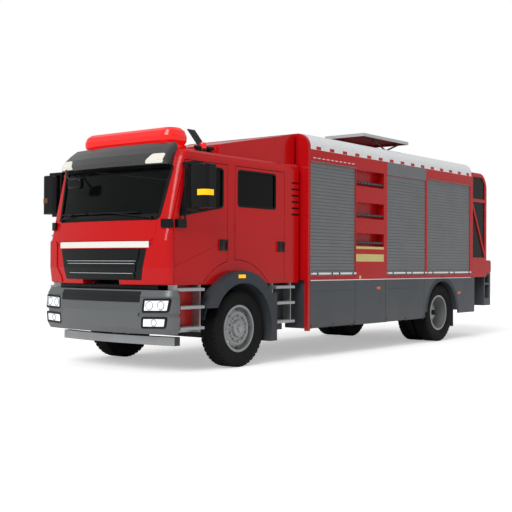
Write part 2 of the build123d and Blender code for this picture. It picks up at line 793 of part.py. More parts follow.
with BuildPart() as body_shell:
    block(tail_x, locker1_x, -body_half, body_half, body_floor, body_top)
    block(tail_x + body_wall, locker1_x, -(body_half - body_wall), body_half - body_wall,
          body_floor + body_wall, body_top - 35, mode=Mode.SUBTRACT)
    block(tail_x, locker1_x, -1150, 1150, body_top - 10, deck_top)
    for x in (bay_x - bulkhead, locker2_x):
        block(x, x + bulkhead, -(body_half - body_wall), body_half - body_wall,
              body_floor + body_wall, body_top - 35)
    block(locker3_x, divider_x, -(body_half - body_wall), body_half - body_wall,
          body_floor + body_wall, body_top - 35)
    for side in (1, -1):
        block(tail_x + body_wall, locker1_x, side * tank_half, side * (tank_half - bulkhead),
              body_floor + body_wall, body_top - 35)
        block(locker2_x, bay_x, side * (body_half - bay_depth), side * body_half,
              body_floor + body_wall, body_top - 35)
        for low, high in pockets:
            block(mid_post_x + 20, bay_x - 20, side * (body_half - pocket_depth),
                  side * (body_half + 10), low, high, mode=Mode.SUBTRACT)
        for back, front, top in lockers:
            block(back, front, side * (body_half - body_wall - 5), side * (body_half + 5),
                  shutter_bottom, top, mode=Mode.SUBTRACT)
        rod_y(rear_x, side * 1180, side * (body_half + 10), tyre_radius,
              rear_arch_outer + soft_gap, mode=Mode.SUBTRACT)
    with BuildSketch(Plane.YZ.offset(locker1_x)) as hoop:
        with Locations((0, (hoop_foot + hoop_top) / 2)):
            Rectangle(2 * body_half, hoop_top - hoop_foot)
        fillet(hoop.vertices().group_by(Axis.Y)[-1], 200)
        with Locations((0, (hoop_foot + body_floor) / 2)):
            Rectangle(2 * (body_half - 60), body_floor - hoop_foot, mode=Mode.SUBTRACT)
    extrude(amount=hoop_length)

band_wall = 30
band_inner = 1050


def band_hollow(side):
    """The space under one side of the band, in the section's own Y and Z."""
    with BuildSketch() as hollow:
        with Locations((side * (band_inner + body_half - band_wall) / 2,
                        (body_top + hoop_top - band_wall) / 2)):
            Rectangle(body_half - band_wall - band_inner, hoop_top - band_wall - body_top)
        fillet(hollow.vertices().group_by(Axis.Y)[-1].sort_by(Axis.X)[-1 if side > 0 else 0],
               170 - band_wall)
    return hollow.sketch


with BuildPart() as roof_band:
    for side in (1, -1):
        with BuildSketch(Plane.YZ.offset(tail_x)) as band:
            with Locations((side * 1150, (body_top + hoop_top) / 2)):
                Rectangle(200, hoop_top - body_top)
            fillet(band.vertices().group_by(Axis.Y)[-1].sort_by(Axis.X)[-1 if side > 0 else 0],
                   170)
            add(band_hollow(side), mode=Mode.SUBTRACT)
        extrude(amount=locker1_x - tail_x)

# Roller shutters: slats with grooves between them, over a plain bottom rail
slat_pitch = 50
slat_groove = 6
shutter_face = 1237
bottom_rail = 85


def shutter_profile(bottom, top, face):
    points = [(face - shutter_depth, bottom), (face, bottom)]
    z = bottom + bottom_rail
    while z + slat_pitch < top:
        points += [(face, z - slat_groove), (face - slat_groove, z)]
        points += [(face, z + slat_groove)]
        z += slat_pitch
    return points + [(face, top), (face - shutter_depth, top)]


with BuildPart() as shutters:
    for back, front, top in lockers:
        for side in (1, -1):
            outline = shutter_profile(shutter_bottom + soft_gap, top - soft_gap, shutter_face)
            add(front_prism([(side * y, z) for y, z in outline], back + soft_gap,
                            front - soft_gap))
    outline = shutter_profile(1500 + soft_gap, 2700 - soft_gap, -(tail_rear_x + 12))
    add(side_prism([(-x, z) for x, z in outline], -950 + soft_gap, 950 - soft_gap))

# Handle bars on the shutters and rungs in the climbing bays
bar_y = 1278
bar_z = 1222
bar_radius = 15
with BuildPart() as grab_rails:
    for side in (1, -1):
        for back, front, top in lockers:
            rod_x(back + 35, front - 35, side * bar_y, bar_z, bar_radius)
            for x in (back + 60, (back + front) / 2, front - 60):
                block(x - 22, x + 22, side * shutter_face, side * bar_y, bar_z - 9, bar_z + 9)
        for low, high in pockets:
            rod_x(mid_post_x + 20, bay_x - 20, side * (body_half - 30), low + 55, 14)

# Skirts with the lower lockers behind the fold-down flaps
flap_gap = 8
hinge_y = body_half - 14
hinge_z = skirt_bottom + 5
flap_pin = 6
flap_barrel = 13
flap_ranges = [(bay_x, locker1_x), (rear_x + rear_arch_outer + 30, mid_post_x - 35)]
flap_lug = 22
fold_line = 964


def lug_stations(back, front):
    return [back + flap_gap + flap_lug, (back + front) / 2, front - flap_gap - flap_lug]


with BuildPart() as side_skirts:
    for side in (1, -1):
        inner = side * (body_half - skirt_thickness)
        outer = side * body_half
        block(mid_post_x - 35, bay_x, inner, outer, sill_bottom, body_floor)
        block(mid_post_x - 35, bay_x, side * 800, inner, sill_bottom, skirt_bottom)
        with BuildSketch(side_plane(max(inner, outer))):
            with Locations((rear_x + (rear_arch_outer + 30) / 2, (skirt_bottom + body_floor) / 2)):
                Rectangle(rear_arch_outer + 30, body_floor - skirt_bottom)
            with Locations((rear_x - 1305 / 2, (skirt_bottom + 30 + body_floor) / 2)):
                Rectangle(1305, body_floor - skirt_bottom - 30)
            with Locations((rear_x, tyre_radius)):
                Circle(rear_arch_outer + soft_gap, mode=Mode.SUBTRACT)
        extrude(amount=skirt_thickness)
        for back, front in flap_ranges:
            block(back, front, side * 800, side * 1215, sill_bottom, skirt_bottom)
            block(back, front, side * 800, side * 815, skirt_bottom, body_floor)
            for x in (back, front - 15):
                block(x, x + 15, side * 815, side * 1185, skirt_bottom, body_floor)
            for x in lug_stations(back, front):
                block(x - flap_lug / 2, x + flap_lug / 2, side * 1214, side * body_half, sill_bottom,
                      hinge_z + 12)
            rod_x(back + flap_gap + flap_lug, front - flap_gap - flap_lug, side * hinge_y, hinge_z,
                  flap_pin)


def fold_flap(back, front):
    """A left-hand skirt flap with hinge barrels along its lower edge."""
    with BuildPart() as flap:
        block(back + flap_gap, front - flap_gap, body_half - skirt_thickness, body_half, hinge_z,
              body_floor - flap_gap)
        rod_x(back + flap_gap, front - flap_gap, hinge_y, hinge_z, flap_barrel)
        block(back, front, body_half - 4, body_half + 5, fold_line, fold_line + 6,
              mode=Mode.SUBTRACT)
        for x in lug_stations(back, front):
            block(x - flap_lug / 2 - 6, x + flap_lug / 2 + 6, body_half - 60, body_half + 20,
                  hinge_z - 40, hinge_z + 26, mode=Mode.SUBTRACT)
        rod_x(back, front, hinge_y, hinge_z, flap_pin + running_gap, mode=Mode.SUBTRACT)
    return flap.part


for place, (back, front) in zip(("front", "rear"), flap_ranges):
    left_side[f"flap_{place}"] = fold_flap(back, front)

# Tail: glazed pump bay, its rear box, the dark lower frame
tail_top = 3100
tail_corner = 295
tail_wall = 50
window_low = 1500
cross_bar_z = 2550
bar_width = 60
box_bottom = 1200
box_top = 1450
tail_outline = [(tail_x, body_floor), (tail_x, tail_top), (tail_rear_x, tail_top),
                (tail_rear_x, body_floor)]
window_front = tail_x - 75
window_rear = tail_rear_x + 75
window_high = tail_top - 75
glass_thickness = 10
window_outline = [(window_front, window_low), (window_front, window_high),
                  (window_rear + 120, window_high), (window_rear, window_high - 120),
                  (window_rear, window_low)]


def tail_side_bars(y0, y1):
    """The cross bar and the diagonal brace of one side."""
    brace = [(window_front + 5, cross_bar_z), (window_front + 5, cross_bar_z - 90),
             (window_rear - 5, window_low - 5), (window_rear - 5, window_low + 85)]
    level = [(window_front + 5, cross_bar_z), (window_front + 5, cross_bar_z + bar_width),
             (window_rear - 5, cross_bar_z + bar_width), (window_rear - 5, cross_bar_z)]
    return side_prism(level, y0, y1) + side_prism(brace, y0, y1)


with BuildPart() as tail_frame:
    with BuildSketch(side_plane(body_half)) as outline:
        with BuildLine():
            Polyline(*tail_outline, close=True)
        make_face()
        fillet(outline.vertices().group_by(Axis.Y)[-1].sort_by(Axis.X)[0], tail_corner)
    extrude(amount=2 * body_half)
    with BuildSketch(side_plane(body_half - tail_wall)) as cavity:
        with BuildLine():
            Polyline((tail_x + 1, body_floor + body_wall), (tail_x + 1, tail_top - tail_wall),
                     (tail_rear_x + tail_wall, tail_top - tail_wall),
                     (tail_rear_x + tail_wall, body_floor + body_wall), close=True)
        make_face()
        fillet(cavity.vertices().group_by(Axis.Y)[-1].sort_by(Axis.X)[0],
               tail_corner - tail_wall)
    extrude(amount=2 * (body_half - tail_wall), mode=Mode.SUBTRACT)
    add(side_prism(window_outline, -body_half - 5, body_half + 5), mode=Mode.SUBTRACT)
    block(tail_rear_x - 5, tail_rear_x + tail_wall + 5, -950, 950, 1500, 2700,
          mode=Mode.SUBTRACT)
    for side in (1, -1):
        add(tail_side_bars(side * body_half, side * (body_half - tail_wall)))
    block(tail_rear_x - tail_box_length, tail_rear_x, -1220, 1220, box_bottom, box_top)
    fillet(tail_frame.edges().filter_by(Axis.Y).group_by(Axis.X)[0], 60)

with BuildPart() as tail_glass:
    for side in (1, -1):
        near = side * (body_half - 20)
        far = side * (body_half - 20 - glass_thickness)
        add(side_prism(window_outline, near, far) - tail_side_bars(near, far))

tail_frame_bottom = 578
hitch_pin_x = tail_rear_x - 190
hitch_bore = 20.5
hitch_half = 75
lamp_y0 = 1020
lamp_y1 = 1170
with BuildPart() as tail_bumper:
    block(bumper_rear_x, tail_rear_x, -1200, 1200, tail_frame_bottom, box_bottom)
    block(bumper_rear_x + 60, tail_rear_x - 40, -1210, 1210, 720, box_bottom - 225,
          mode=Mode.SUBTRACT)
    block(bumper_rear_x + 60, tail_rear_x - 40, -1210, 1210, box_bottom - 185, box_bottom - 40,
          mode=Mode.SUBTRACT)
    for side in (1, -1):
        block(bumper_rear_x - 5, bumper_rear_x + 30, side * lamp_y0, side * lamp_y1, 740, 940,
              mode=Mode.SUBTRACT)
    block(hitch_pin_x - 60, tail_rear_x - 40, -hitch_half, hitch_half, 470, tail_frame_bottom)
    block(hitch_pin_x - 61, tail_rear_x - 90, -hitch_half - 1, hitch_half + 1, 504, 544,
          mode=Mode.SUBTRACT)
    rod_z(hitch_pin_x, 0, 460, tail_frame_bottom, hitch_bore, mode=Mode.SUBTRACT)
    block(tail_rear_x, rail_rear_x, -(rail_y - rail_plate), rail_y - rail_plate, 780, 960)

with BuildPart() as tail_lamps:
    for side in (1, -1):
        block(bumper_rear_x, bumper_rear_x + 30, side * (lamp_y0 + soft_gap),
              side * (lamp_y1 - soft_gap), 740 + soft_gap, 940 - soft_gap)

# Roof hatch: coaming with the arms' base eyes and tracks, then the lid on crossed arms
with BuildPart() as hatch_coaming:
    for y in (hatch_inner_y, hatch_outer_y - rim):
        block(hatch_rear_x, hatch_front_x, y, y + rim, deck_top, rim_top)
    for x in (hatch_rear_x, hatch_front_x - rim):
        block(x, x + rim, hatch_inner_y + rim + soft_gap, hatch_outer_y - rim - soft_gap,
              deck_top, rim_top)
    for near, far in hatch_sides(302, 338):
        block(pivot_x - 20, pivot_x + 20, near, (near + far) / 2 - (far - near) / 4, deck_top,
              base_pivot_z + 18)
        rod_y(pivot_x, near, far, base_pivot_z, arm_pin)
    for near, far in hatch_sides(351, 366):
        block(pivot_x + arm_reach - 60, pivot_x + arm_reach + 70, near, far, deck_top,
              base_pivot_z - arm_height / 2 - 1)

with BuildPart() as hatch_lid:
    block(hatch_rear_x, hatch_front_x, hatch_inner_y, hatch_outer_y, lid_bottom,
          lid_bottom + lid_thickness)
    block(hatch_rear_x + 12, hatch_front_x - 12, hatch_inner_y + 12, hatch_outer_y - 12,
          lid_bottom - 1, lid_bottom + lid_thickness - 12, mode=Mode.SUBTRACT)
    for near, far in hatch_sides(352, 372):
        block(pivot_x - 18, pivot_x + 18, near, far, lid_pivot_z - 14,
              lid_bottom + lid_thickness - 11)
    for near, far in hatch_sides(336, 372):
        rod_y(pivot_x, near, far, lid_pivot_z, arm_pin)
    for near, far in hatch_sides(298, 313):
        block(pivot_x + arm_reach - 60, pivot_x + arm_reach + 70, near, far,
              lid_pivot_z + roller + soft_gap, lid_bottom + lid_thickness - 11)


def scissor_arms(low_end, high_end, fixed, free, bar_range, roller_range):
    """A pair of bars, each with a bored eye at one end and a roller at the other."""
    run = Vector(high_end[0] - low_end[0], 0, high_end[1] - low_end[1])
    middle_x = (low_end[0] + high_end[0]) / 2
    middle_z = (low_end[1] + high_end[1]) / 2
    tilt = degrees(asin(run.Z / run.length)) * (1 if run.X > 0 else -1)
    with BuildPart() as arms:
        for near, far in hatch_sides(*bar_range):
            with Locations(Location((middle_x, (near + far) / 2, middle_z), (0, -tilt, 0))):
                Box(arm_length, arm_thickness, arm_height)
            for x, z in (low_end, high_end):
                rod_y(x, near, far, z, arm_height / 2)
        for near, far in hatch_sides(*roller_range):
            rod_y(free[0], near, far, free[1], roller)
        rod_y(fixed[0], hatch_inner_y, hatch_outer_y, fixed[1], arm_pin + running_gap,
              mode=Mode.SUBTRACT)
    return arms.part


low_rear = (pivot_x, base_pivot_z)
low_front = (pivot_x + arm_reach, base_pivot_z)
high_rear = (pivot_x, lid_pivot_z)
high_front = (pivot_x + arm_reach, lid_pivot_z)
hatch_arms_lower = scissor_arms(low_rear, high_front, low_rear, high_front,
                                (314, 314 + arm_thickness), (300, 314))
hatch_arms_upper = scissor_arms(low_front, high_rear, high_rear, low_front,
                                (339, 339 + arm_thickness), (351, 365))

# Steering knuckles
fork_gap = 2
fork_plate = 35
web_inner = kingpin_y + 60
web_outer = kingpin_y + 95


def knuckle():
    """Left-hand knuckle: fork, kingpin and wheel spindle."""
    half_eye = eye_height / 2 + fork_gap
    with BuildPart() as fork:
        for end in (-1, 1):
            block(front_x - 45, front_x + 45, kingpin_y, web_outer, beam_z + end * half_eye,
                  beam_z + end * (half_eye + fork_plate))
            rod_z(front_x, kingpin_y, beam_z + end * half_eye,
                  beam_z + end * (half_eye + fork_plate), 45)
        block(front_x - 45, front_x + 45, web_inner, web_outer, beam_z - half_eye - fork_plate,
              beam_z + half_eye + fork_plate)
        rod_z(front_x, kingpin_y, beam_z - half_eye - 5, beam_z + half_eye + 5, kingpin_radius)
        rod_y(front_x, web_outer - 5, spindle_end, beam_z, spindle_radius)
        block(front_x - 180, front_x - 40, web_inner, web_outer, beam_z - 80, beam_z - 50)
    return fork.part


left_side["knuckle"] = knuckle()

# Tyres and rims
bead_half = 100
flange_radius = 311
tread_half = 112
shoulder_radius = 486


def wheel_plane(x):
    return Plane(origin=(x, 0, tyre_radius), x_dir=(0, 1, 0), z_dir=(1, 0, 0))


def wheel_axis(x):
    return Axis((x, 0, tyre_radius), (0, 1, 0))


def tyre(x, middles):
    with BuildPart() as rubber:
        with BuildSketch(wheel_plane(x)):
            for y in middles:
                with BuildLine():
                    Polyline((y + bead_half, bead_radius), (y - bead_half, bead_radius))
                    Line((y - bead_half, bead_radius), (y - bead_half, flange_radius + 2))
                    ThreePointArc((y - bead_half, flange_radius + 2), (y - tyre_width / 2, 400),
                                  (y - tyre_width / 2 + 8, shoulder_radius - 12))
                    Polyline((y - tyre_width / 2 + 8, shoulder_radius - 12),
                             (y - tread_half, tyre_radius - 4), (y - tread_half + 40, tyre_radius),
                             (y + tread_half - 40, tyre_radius), (y + tread_half, tyre_radius - 4),
                             (y + tyre_width / 2 - 8, shoulder_radius - 12))
                    ThreePointArc((y + tyre_width / 2 - 8, shoulder_radius - 12),
                                  (y + tyre_width / 2, 400), (y + bead_half, flange_radius + 2))
                    Line((y + bead_half, flange_radius + 2), (y + bead_half, bead_radius))
                make_face()
        revolve(axis=wheel_axis(x))
    return rubber.part


def barrel(y):
    """Half section of a rim's barrel with its two flanges."""
    edge = bead_half + 14
    outer = bead_radius - soft_gap
    return [(y - edge, 280), (y - edge, flange_radius), (y - bead_half - 2, flange_radius),
            (y - bead_half - 2, outer), (y + bead_half + 2, outer),
            (y + bead_half + 2, flange_radius), (y + edge, flange_radius), (y + edge, 280)]


def front_rim():
    """Left-hand front rim: barrel, dished disc with hand holes, hub standing out."""
    y = hub_y
    with BuildPart() as rim_part:
        with BuildSketch(wheel_plane(front_x)):
            with BuildLine():
                Polyline(*barrel(y), close=True)
            make_face()
            with BuildLine():
                Polyline((y + 30, 285), (y + 50, 285), (y + 92, 215), (y + 92, 120),
                         (y + 120, 110), (y + 130, 60), (y + 130, 0), (y + 92, 0),
                         (y + 92, spindle_radius + running_gap), (y + 5, spindle_radius
                                                                  + running_gap),
                         (y + 5, 90), (y + 78, 100), (y + 78, 210), close=True)
            make_face()
        revolve(axis=wheel_axis(front_x))
        with Locations(Location((front_x, y + 70, tyre_radius), (90, 0, 0))):
            with PolarLocations(248, 8):
                Cylinder(20, 160, mode=Mode.SUBTRACT)
            with PolarLocations(167, 10):
                Cylinder(15, 70)
    return rim_part.part


outer_middle = rear_face / 2 - tyre_width / 2
inner_middle = outer_middle - tyre_width - twin_gap


def rear_rim():
    """Left-hand twin rim: two barrels, a deep dished disc and the hub."""
    join = (outer_middle + inner_middle) / 2
    dish = join + 30
    with BuildPart() as rim_part:
        with BuildSketch(wheel_plane(rear_x)):
            for y in (outer_middle, inner_middle):
                with BuildLine():
                    Polyline(*barrel(y), close=True)
                make_face()
            with BuildLine():
                Polyline((join - 45, 281), (join + 45, 281), (join + 45, 265), (dish, 225),
                         (dish, 130), (dish + 120, 110), (dish + 125, 60), (dish + 125, 48),
                         (dish + 120, spindle_radius + running_gap),
                         (join - 40, spindle_radius + running_gap), (join - 40, 130),
                         (dish - 16, 140), (dish - 16, 225), (join - 45, 265), close=True)
            make_face()
        revolve(axis=wheel_axis(rear_x))
        with Locations(Location((rear_x, dish, tyre_radius), (90, 0, 0))):
            with PolarLocations(235, 8):
                Cylinder(20, 160, mode=Mode.SUBTRACT)
            with PolarLocations(167, 10):
                Cylinder(15, 60)
    return rim_part.part


left_side["tyre_front"] = tyre(front_x, [hub_y])
left_side["rim_front"] = front_rim()
left_side["tyre_rear"] = tyre(rear_x, [outer_middle, inner_middle])
left_side["rim_rear"] = rear_rim()

# Every piece is written as its own file; the right-hand side mirrors the left
middle_pieces = {
    "chassis_frame": chassis_frame.part,
    "front_axle": front_axle.part,
    "rear_axle": rear_axle.part,
    "engine_and_pump": engine_and_pump.part,
    "cab_shell": cab_shell.part,
    "windscreen": windscreen.part,
    "front_grille": front_grille.part,
    "strip_lamp": strip_lamp.part,
    "front_bumper": front_bumper.part,
    "headlamps": lamps.part,
    "sun_visor": sun_visor.part,
    "roof_lights": roof_lights.part,
    "roof_fairing": roof_fairing.part,
    "cab_interior": cab_interior.part,
    "cab_steps": cab_steps.part,
    "mudguards": mudguards.part,
    "body_shell": body_shell.part,
    "roof_band": roof_band.part,
    "shutters": shutters.part,
    "grab_rails": grab_rails.part,
    "side_skirts": side_skirts.part,
    "tail_frame": tail_frame.part,
    "tail_glass": tail_glass.part,
    "tail_bumper": tail_bumper.part,
    "tail_lamps": tail_lamps.part,
    "hatch_coaming": hatch_coaming.part,
    "hatch_lid": hatch_lid.part,
    "hatch_arms_lower": hatch_arms_lower,
    "hatch_arms_upper": hatch_arms_upper,
}


def write(name, piece):
    piece.label = name
    export_step(piece, f"parts/{name}.step")


for name, piece in middle_pieces.items():
    write(name, piece)
for name, piece in left_side.items():
    write(f"{name}_left", piece)
    write(f"{name}_right", mirror(piece, about=Plane.XZ))
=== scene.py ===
import math

import bpy
from mathutils import Matrix, Vector


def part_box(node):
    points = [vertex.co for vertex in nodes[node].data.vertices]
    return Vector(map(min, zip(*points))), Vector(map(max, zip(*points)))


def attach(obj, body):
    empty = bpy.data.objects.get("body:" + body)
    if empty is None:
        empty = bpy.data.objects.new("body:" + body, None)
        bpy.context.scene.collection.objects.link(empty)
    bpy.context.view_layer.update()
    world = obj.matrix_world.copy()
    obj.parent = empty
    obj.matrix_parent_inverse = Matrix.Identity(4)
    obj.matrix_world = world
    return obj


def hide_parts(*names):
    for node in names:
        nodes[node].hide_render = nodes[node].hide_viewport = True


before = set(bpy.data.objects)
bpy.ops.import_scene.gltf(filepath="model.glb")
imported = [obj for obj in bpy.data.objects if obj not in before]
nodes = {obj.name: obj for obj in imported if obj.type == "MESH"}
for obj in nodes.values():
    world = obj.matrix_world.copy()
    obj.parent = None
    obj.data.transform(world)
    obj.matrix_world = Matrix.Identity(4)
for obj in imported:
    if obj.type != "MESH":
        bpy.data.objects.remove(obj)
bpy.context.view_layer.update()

# Places that most pieces are measured from, in metres in the frame's own axes
tyreLow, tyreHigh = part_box("tyre_front_left")
rearLow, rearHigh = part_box("tyre_rear_left")
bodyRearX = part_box("body_shell")[0].x
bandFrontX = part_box("roof_band")[1].x
lidLow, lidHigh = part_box("hatch_lid")
frontAxleX = (tyreLow.x + tyreHigh.x) / 2
rearAxleX = (rearLow.x + rearHigh.x) / 2
wheelRadius = (tyreHigh.z - tyreLow.z) / 2
bodyHalf = 1.25
cabHalf = 1.12
sink = 0.0005  # how deep a plate's back lies in the sheet that it is fixed to
onBody = bodyHalf - sink


def clearSelection():
    if bpy.context.mode != "OBJECT":
        bpy.ops.object.mode_set(mode="OBJECT")
    bpy.ops.object.select_all(action="DESELECT")


def activate(piece):
    clearSelection()
    piece.select_set(True)
    bpy.context.view_layer.objects.active = piece


def editMode(piece, select="SELECT"):
    activate(piece)
    bpy.ops.object.mode_set(mode="EDIT")
    bpy.ops.mesh.select_mode(type="VERT")
    bpy.ops.mesh.select_all(action=select)


def objectMode():
    bpy.ops.object.mode_set(mode="OBJECT")


def applyPlace(piece):
    activate(piece)
    bpy.ops.object.transform_apply(location=True, rotation=True, scale=True)


def bevelledBox(low, high, bevel, segments=2, cuts=0):
    clearSelection()
    middle = [(a + b) / 2 for a, b in zip(low, high)]
    size = [abs(b - a) for a, b in zip(low, high)]
    bpy.ops.mesh.primitive_cube_add(size=1, location=middle)
    box = bpy.context.object
    box.scale = size
    applyPlace(box)
    editMode(box)
    bpy.ops.mesh.bevel(offset=bevel, segments=segments, affect="EDGES")
    if cuts:
        bpy.ops.mesh.select_all(action="SELECT")
        bpy.ops.mesh.subdivide(number_cuts=cuts)
    objectMode()
    return box


def turnedRod(start, end, radius, count=24, bevel=0.0):
    clearSelection()
    run = Vector(end) - Vector(start)
    bpy.ops.mesh.primitive_cylinder_add(vertices=count, radius=radius, depth=run.length)
    rod = bpy.context.object
    if bevel:
        editMode(rod, "DESELECT")
        bpy.ops.mesh.select_mode(type="EDGE")
        bpy.ops.mesh.edges_select_sharp(sharpness=math.radians(80))
        bpy.ops.mesh.bevel(offset=bevel, segments=2, affect="EDGES")
        objectMode()
    rod.rotation_euler = run.to_track_quat("Z", "Y").to_euler()
    rod.location = (Vector(start) + Vector(end)) / 2
    applyPlace(rod)
    return rod


def copied(piece, offset=(0, 0, 0), turn=None):
    twin = piece.copy()
    twin.data = piece.data.copy()
    bpy.context.scene.collection.objects.link(twin)
    if turn:
        twin.data.transform(turn)
    twin.data.transform(Matrix.Translation(offset))
    return twin


def mirrored(piece):
    twin = copied(piece)
    editMode(twin)
    bpy.ops.transform.resize(value=(1, -1, 1), center_override=(0, 0, 0))
    bpy.ops.mesh.flip_normals()
    objectMode()
    return twin


def joined(pieces):
    clearSelection()
    for piece in pieces:
        piece.select_set(True)
    bpy.context.view_layer.objects.active = pieces[0]
    bpy.ops.object.join()
    return pieces[0]


def bothSides(piece):
    return joined([piece, mirrored(piece)])


def ringOf(piece, count, centre, axis="Y"):
    # Copies of a piece round a wheel's axis
    place = Matrix.Translation(centre)
    back = Matrix.Translation(-Vector(centre))
    copies = [copied(piece, turn=place @ Matrix.Rotation(math.tau * step / count, 4, axis) @ back)
              for step in range(1, count)]
    return joined([piece] + copies)


def drawnLine(points):
    clearSelection()
    bpy.ops.mesh.primitive_plane_add(size=0.001, location=points[0])
    line = bpy.context.object
    applyPlace(line)
    editMode(line)
    bpy.ops.mesh.merge(type="CENTER")  # one point is left, and the rest are drawn from it
    for start, end in zip(points, points[1:]):
        step = Vector(end) - Vector(start)
        bpy.ops.mesh.extrude_vertices_move(TRANSFORM_OT_translate={"value": step})
    objectMode()
    return line


def spunLine(line, centre, steps):
    editMode(line)
    bpy.ops.mesh.spin(steps=steps, angle=math.tau, center=centre, axis=(0, 1, 0))
    bpy.ops.mesh.select_all(action="SELECT")
    bpy.ops.mesh.remove_doubles(threshold=0.00002)
    bpy.ops.mesh.normals_make_consistent(inside=False)
    objectMode()
    return line


def flatOutline(corners, radius, segments=6):
    # A flat face through four corners, its corners rounded
    clearSelection()
    bpy.ops.mesh.primitive_plane_add(size=1)
    face = bpy.context.object
    order = [face.data.polygons[0].vertices[step] for step in range(4)]
    for index, corner in zip(order, corners):
        face.data.vertices[index].co = corner
    if radius:
        editMode(face)
        bpy.ops.mesh.bevel(offset=radius, segments=segments, affect="VERTICES")
        objectMode()
    return face


def drawnOut(face, depth, cuts, triangles=False):
    # Gives a flat shape its thickness, divides it and turns its faces outwards
    bpy.ops.mesh.extrude_region_move(TRANSFORM_OT_translate={"value": depth})
    bpy.ops.mesh.select_all(action="SELECT")
    if triangles:
        bpy.ops.mesh.quads_convert_to_tris()
    if cuts:
        bpy.ops.mesh.subdivide(number_cuts=cuts)
    bpy.ops.mesh.normals_make_consistent(inside=False)
    objectMode()
    return face


def frameOutline(corners, width, depth, radius, cuts=4):
    # A frame of the given width inside four rounded corners, drawn out along depth
    face = flatOutline(corners, radius)
    editMode(face)
    bpy.ops.mesh.select_mode(type="FACE")
    bpy.ops.mesh.inset(thickness=width)
    bpy.ops.mesh.delete(type="FACE")
    bpy.ops.mesh.select_all(action="SELECT")
    return drawnOut(face, depth, cuts)


def platedOutline(corners, depth, radius, cuts=3):
    # A plate with four rounded corners, drawn out along depth
    face = flatOutline(corners, radius)
    editMode(face)
    bpy.ops.mesh.select_mode(type="FACE")
    return drawnOut(face, depth, cuts, triangles=cuts > 0)


def grown(corners, amount):
    # Corners moved outwards from their middle, each along two axes
    middle = sum((Vector(c) for c in corners), Vector()) / len(corners)
    moved = []
    for corner in corners:
        away = Vector(corner) - middle
        step = [math.copysign(amount, d) if abs(d) > 0.001 else 0 for d in away]
        moved.append(Vector(corner) + Vector(step))
    return moved


def wrapped(piece, surfaceX):
    # Moves a piece drawn about x = 0 onto a surface whose x depends on y and z
    for vertex in piece.data.vertices:
        vertex.co.x += surfaceX(vertex.co.y, vertex.co.z)
    return piece


def fromAxle(points, y=0.0):
    # Points given ahead of the front axle and off a line at y
    return [(frontAxleX + point[0], y + point[1], point[2]) for point in points]


def fitted(piece, name, body, material, smooth=35):
    piece.name = name
    piece.data.name = name
    piece.data.materials.clear()
    piece.data.materials.append(material)
    activate(piece)
    bpy.ops.object.shade_smooth_by_angle(angle=math.radians(smooth))
    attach(piece, body)
    return piece


def fittedPair(left, name, body, material, rightMaterial=None):
    # A left-hand piece and its mirror image, each on the body of its own side
    pair = {"right": mirrored(left), "left": left}
    finishes = {"right": rightMaterial or material, "left": material}
    for hand, piece in pair.items():
        fitted(piece, f"{name}_{hand}", f"{body}_{hand}", finishes[hand])
    return pair


def between(height, heights, values):
    # The value at a height, on straight lines between stations and level past both ends
    height = min(max(height, heights[0]), heights[-1])
    for low, high, a, b in zip(heights, heights[1:], values, values[1:]):
        if height <= high:
            return a + (b - a) * (height - low) / (high - low)


def bowDrop(bow, y):
    # How far a face that is bowed in plan falls back at y
    return bow - math.sqrt(bow ** 2 - y ** 2)


# Outer faces: the nose's place ahead of the front axle at a few heights, each bowed in plan
cabFace = {"heights": (1.095, 1.3, 1.64, 1.925, 2.605, 2.7),
           "noses": (1.385, 1.415, 1.415, 1.35, 1.19, 1.153), "bow": 5.0, "corner": 0.11}
bumperFace = {"heights": (0.49, 0.56, 0.76, 0.96, 1.03), "tucks": (0.045, 0.008, 0, 0.012, 0.05),
              "nose": 1.45, "bow": 5.2, "corner": 0.2, "half": 1.222}
visorFace = {"heights": (2.59, 2.648, 2.735, 2.82), "noses": (1.308, 1.322, 1.258, 1.16)}
cornerSeat = 0.98  # the share of a corner's radius that its middle lies behind the front


def cabFrontX(y, z):
    nose = between(z, cabFace["heights"], cabFace["noses"])
    return frontAxleX + nose - bowDrop(cabFace["bow"], y)


def visorFrontX(y, z):
    nose = between(z, visorFace["heights"], visorFace["noses"])
    return frontAxleX + nose - bowDrop(cabFace["bow"], y)


def cabSideY(x, z):
    # How far out the cab's left side is, allowing for the round front corner
    corner = cabFace["corner"]
    centreY = cabHalf - corner
    centreX = cabFrontX(centreY, z) - corner * cornerSeat
    if x <= centreX:
        return cabHalf
    ahead = min(x - centreX, corner)
    return centreY + math.sqrt(max(corner ** 2 - ahead ** 2, 0))


def bumperFrontX(y, z):
    tuck = between(z, bumperFace["heights"], bumperFace["tucks"])
    bow, corner = bumperFace["bow"], bumperFace["corner"]
    nose = frontAxleX + bumperFace["nose"] - tuck
    edge = bumperFace["half"] - tuck / 2 - corner
    reach = abs(y)
    if reach <= edge:
        return nose - bowDrop(bow, reach)
    beyond = min(reach - edge, corner * cornerSeat)
    centreX = nose - bowDrop(bow, edge) - corner * cornerSeat
    return centreX + math.sqrt(corner ** 2 - beyond ** 2)


print("helpers ready")

# Materials: each is named for what the real surface is made of


def hexColour(code):
    channels = [int(code[start:start + 2], 16) / 255 for start in (1, 3, 5)]
    linear = [c / 12.92 if c <= 0.04045 else ((c + 0.055) / 1.055) ** 2.4 for c in channels]
    return (*linear, 1.0)


def addNode(tree, kind, settings=None, inputs=None):
    node = tree.nodes.new(kind)
    for key, value in (settings or {}).items():
        setattr(node, key, value)
    for key, value in (inputs or {}).items():
        if isinstance(value, bpy.types.NodeSocket):
            tree.links.new(value, node.inputs[key])
        else:
            node.inputs[key].default_value = value
    return node


roadDust = {"colour": "#8C8478", "from": 1.1, "full": 0.1, "speckle": 25}


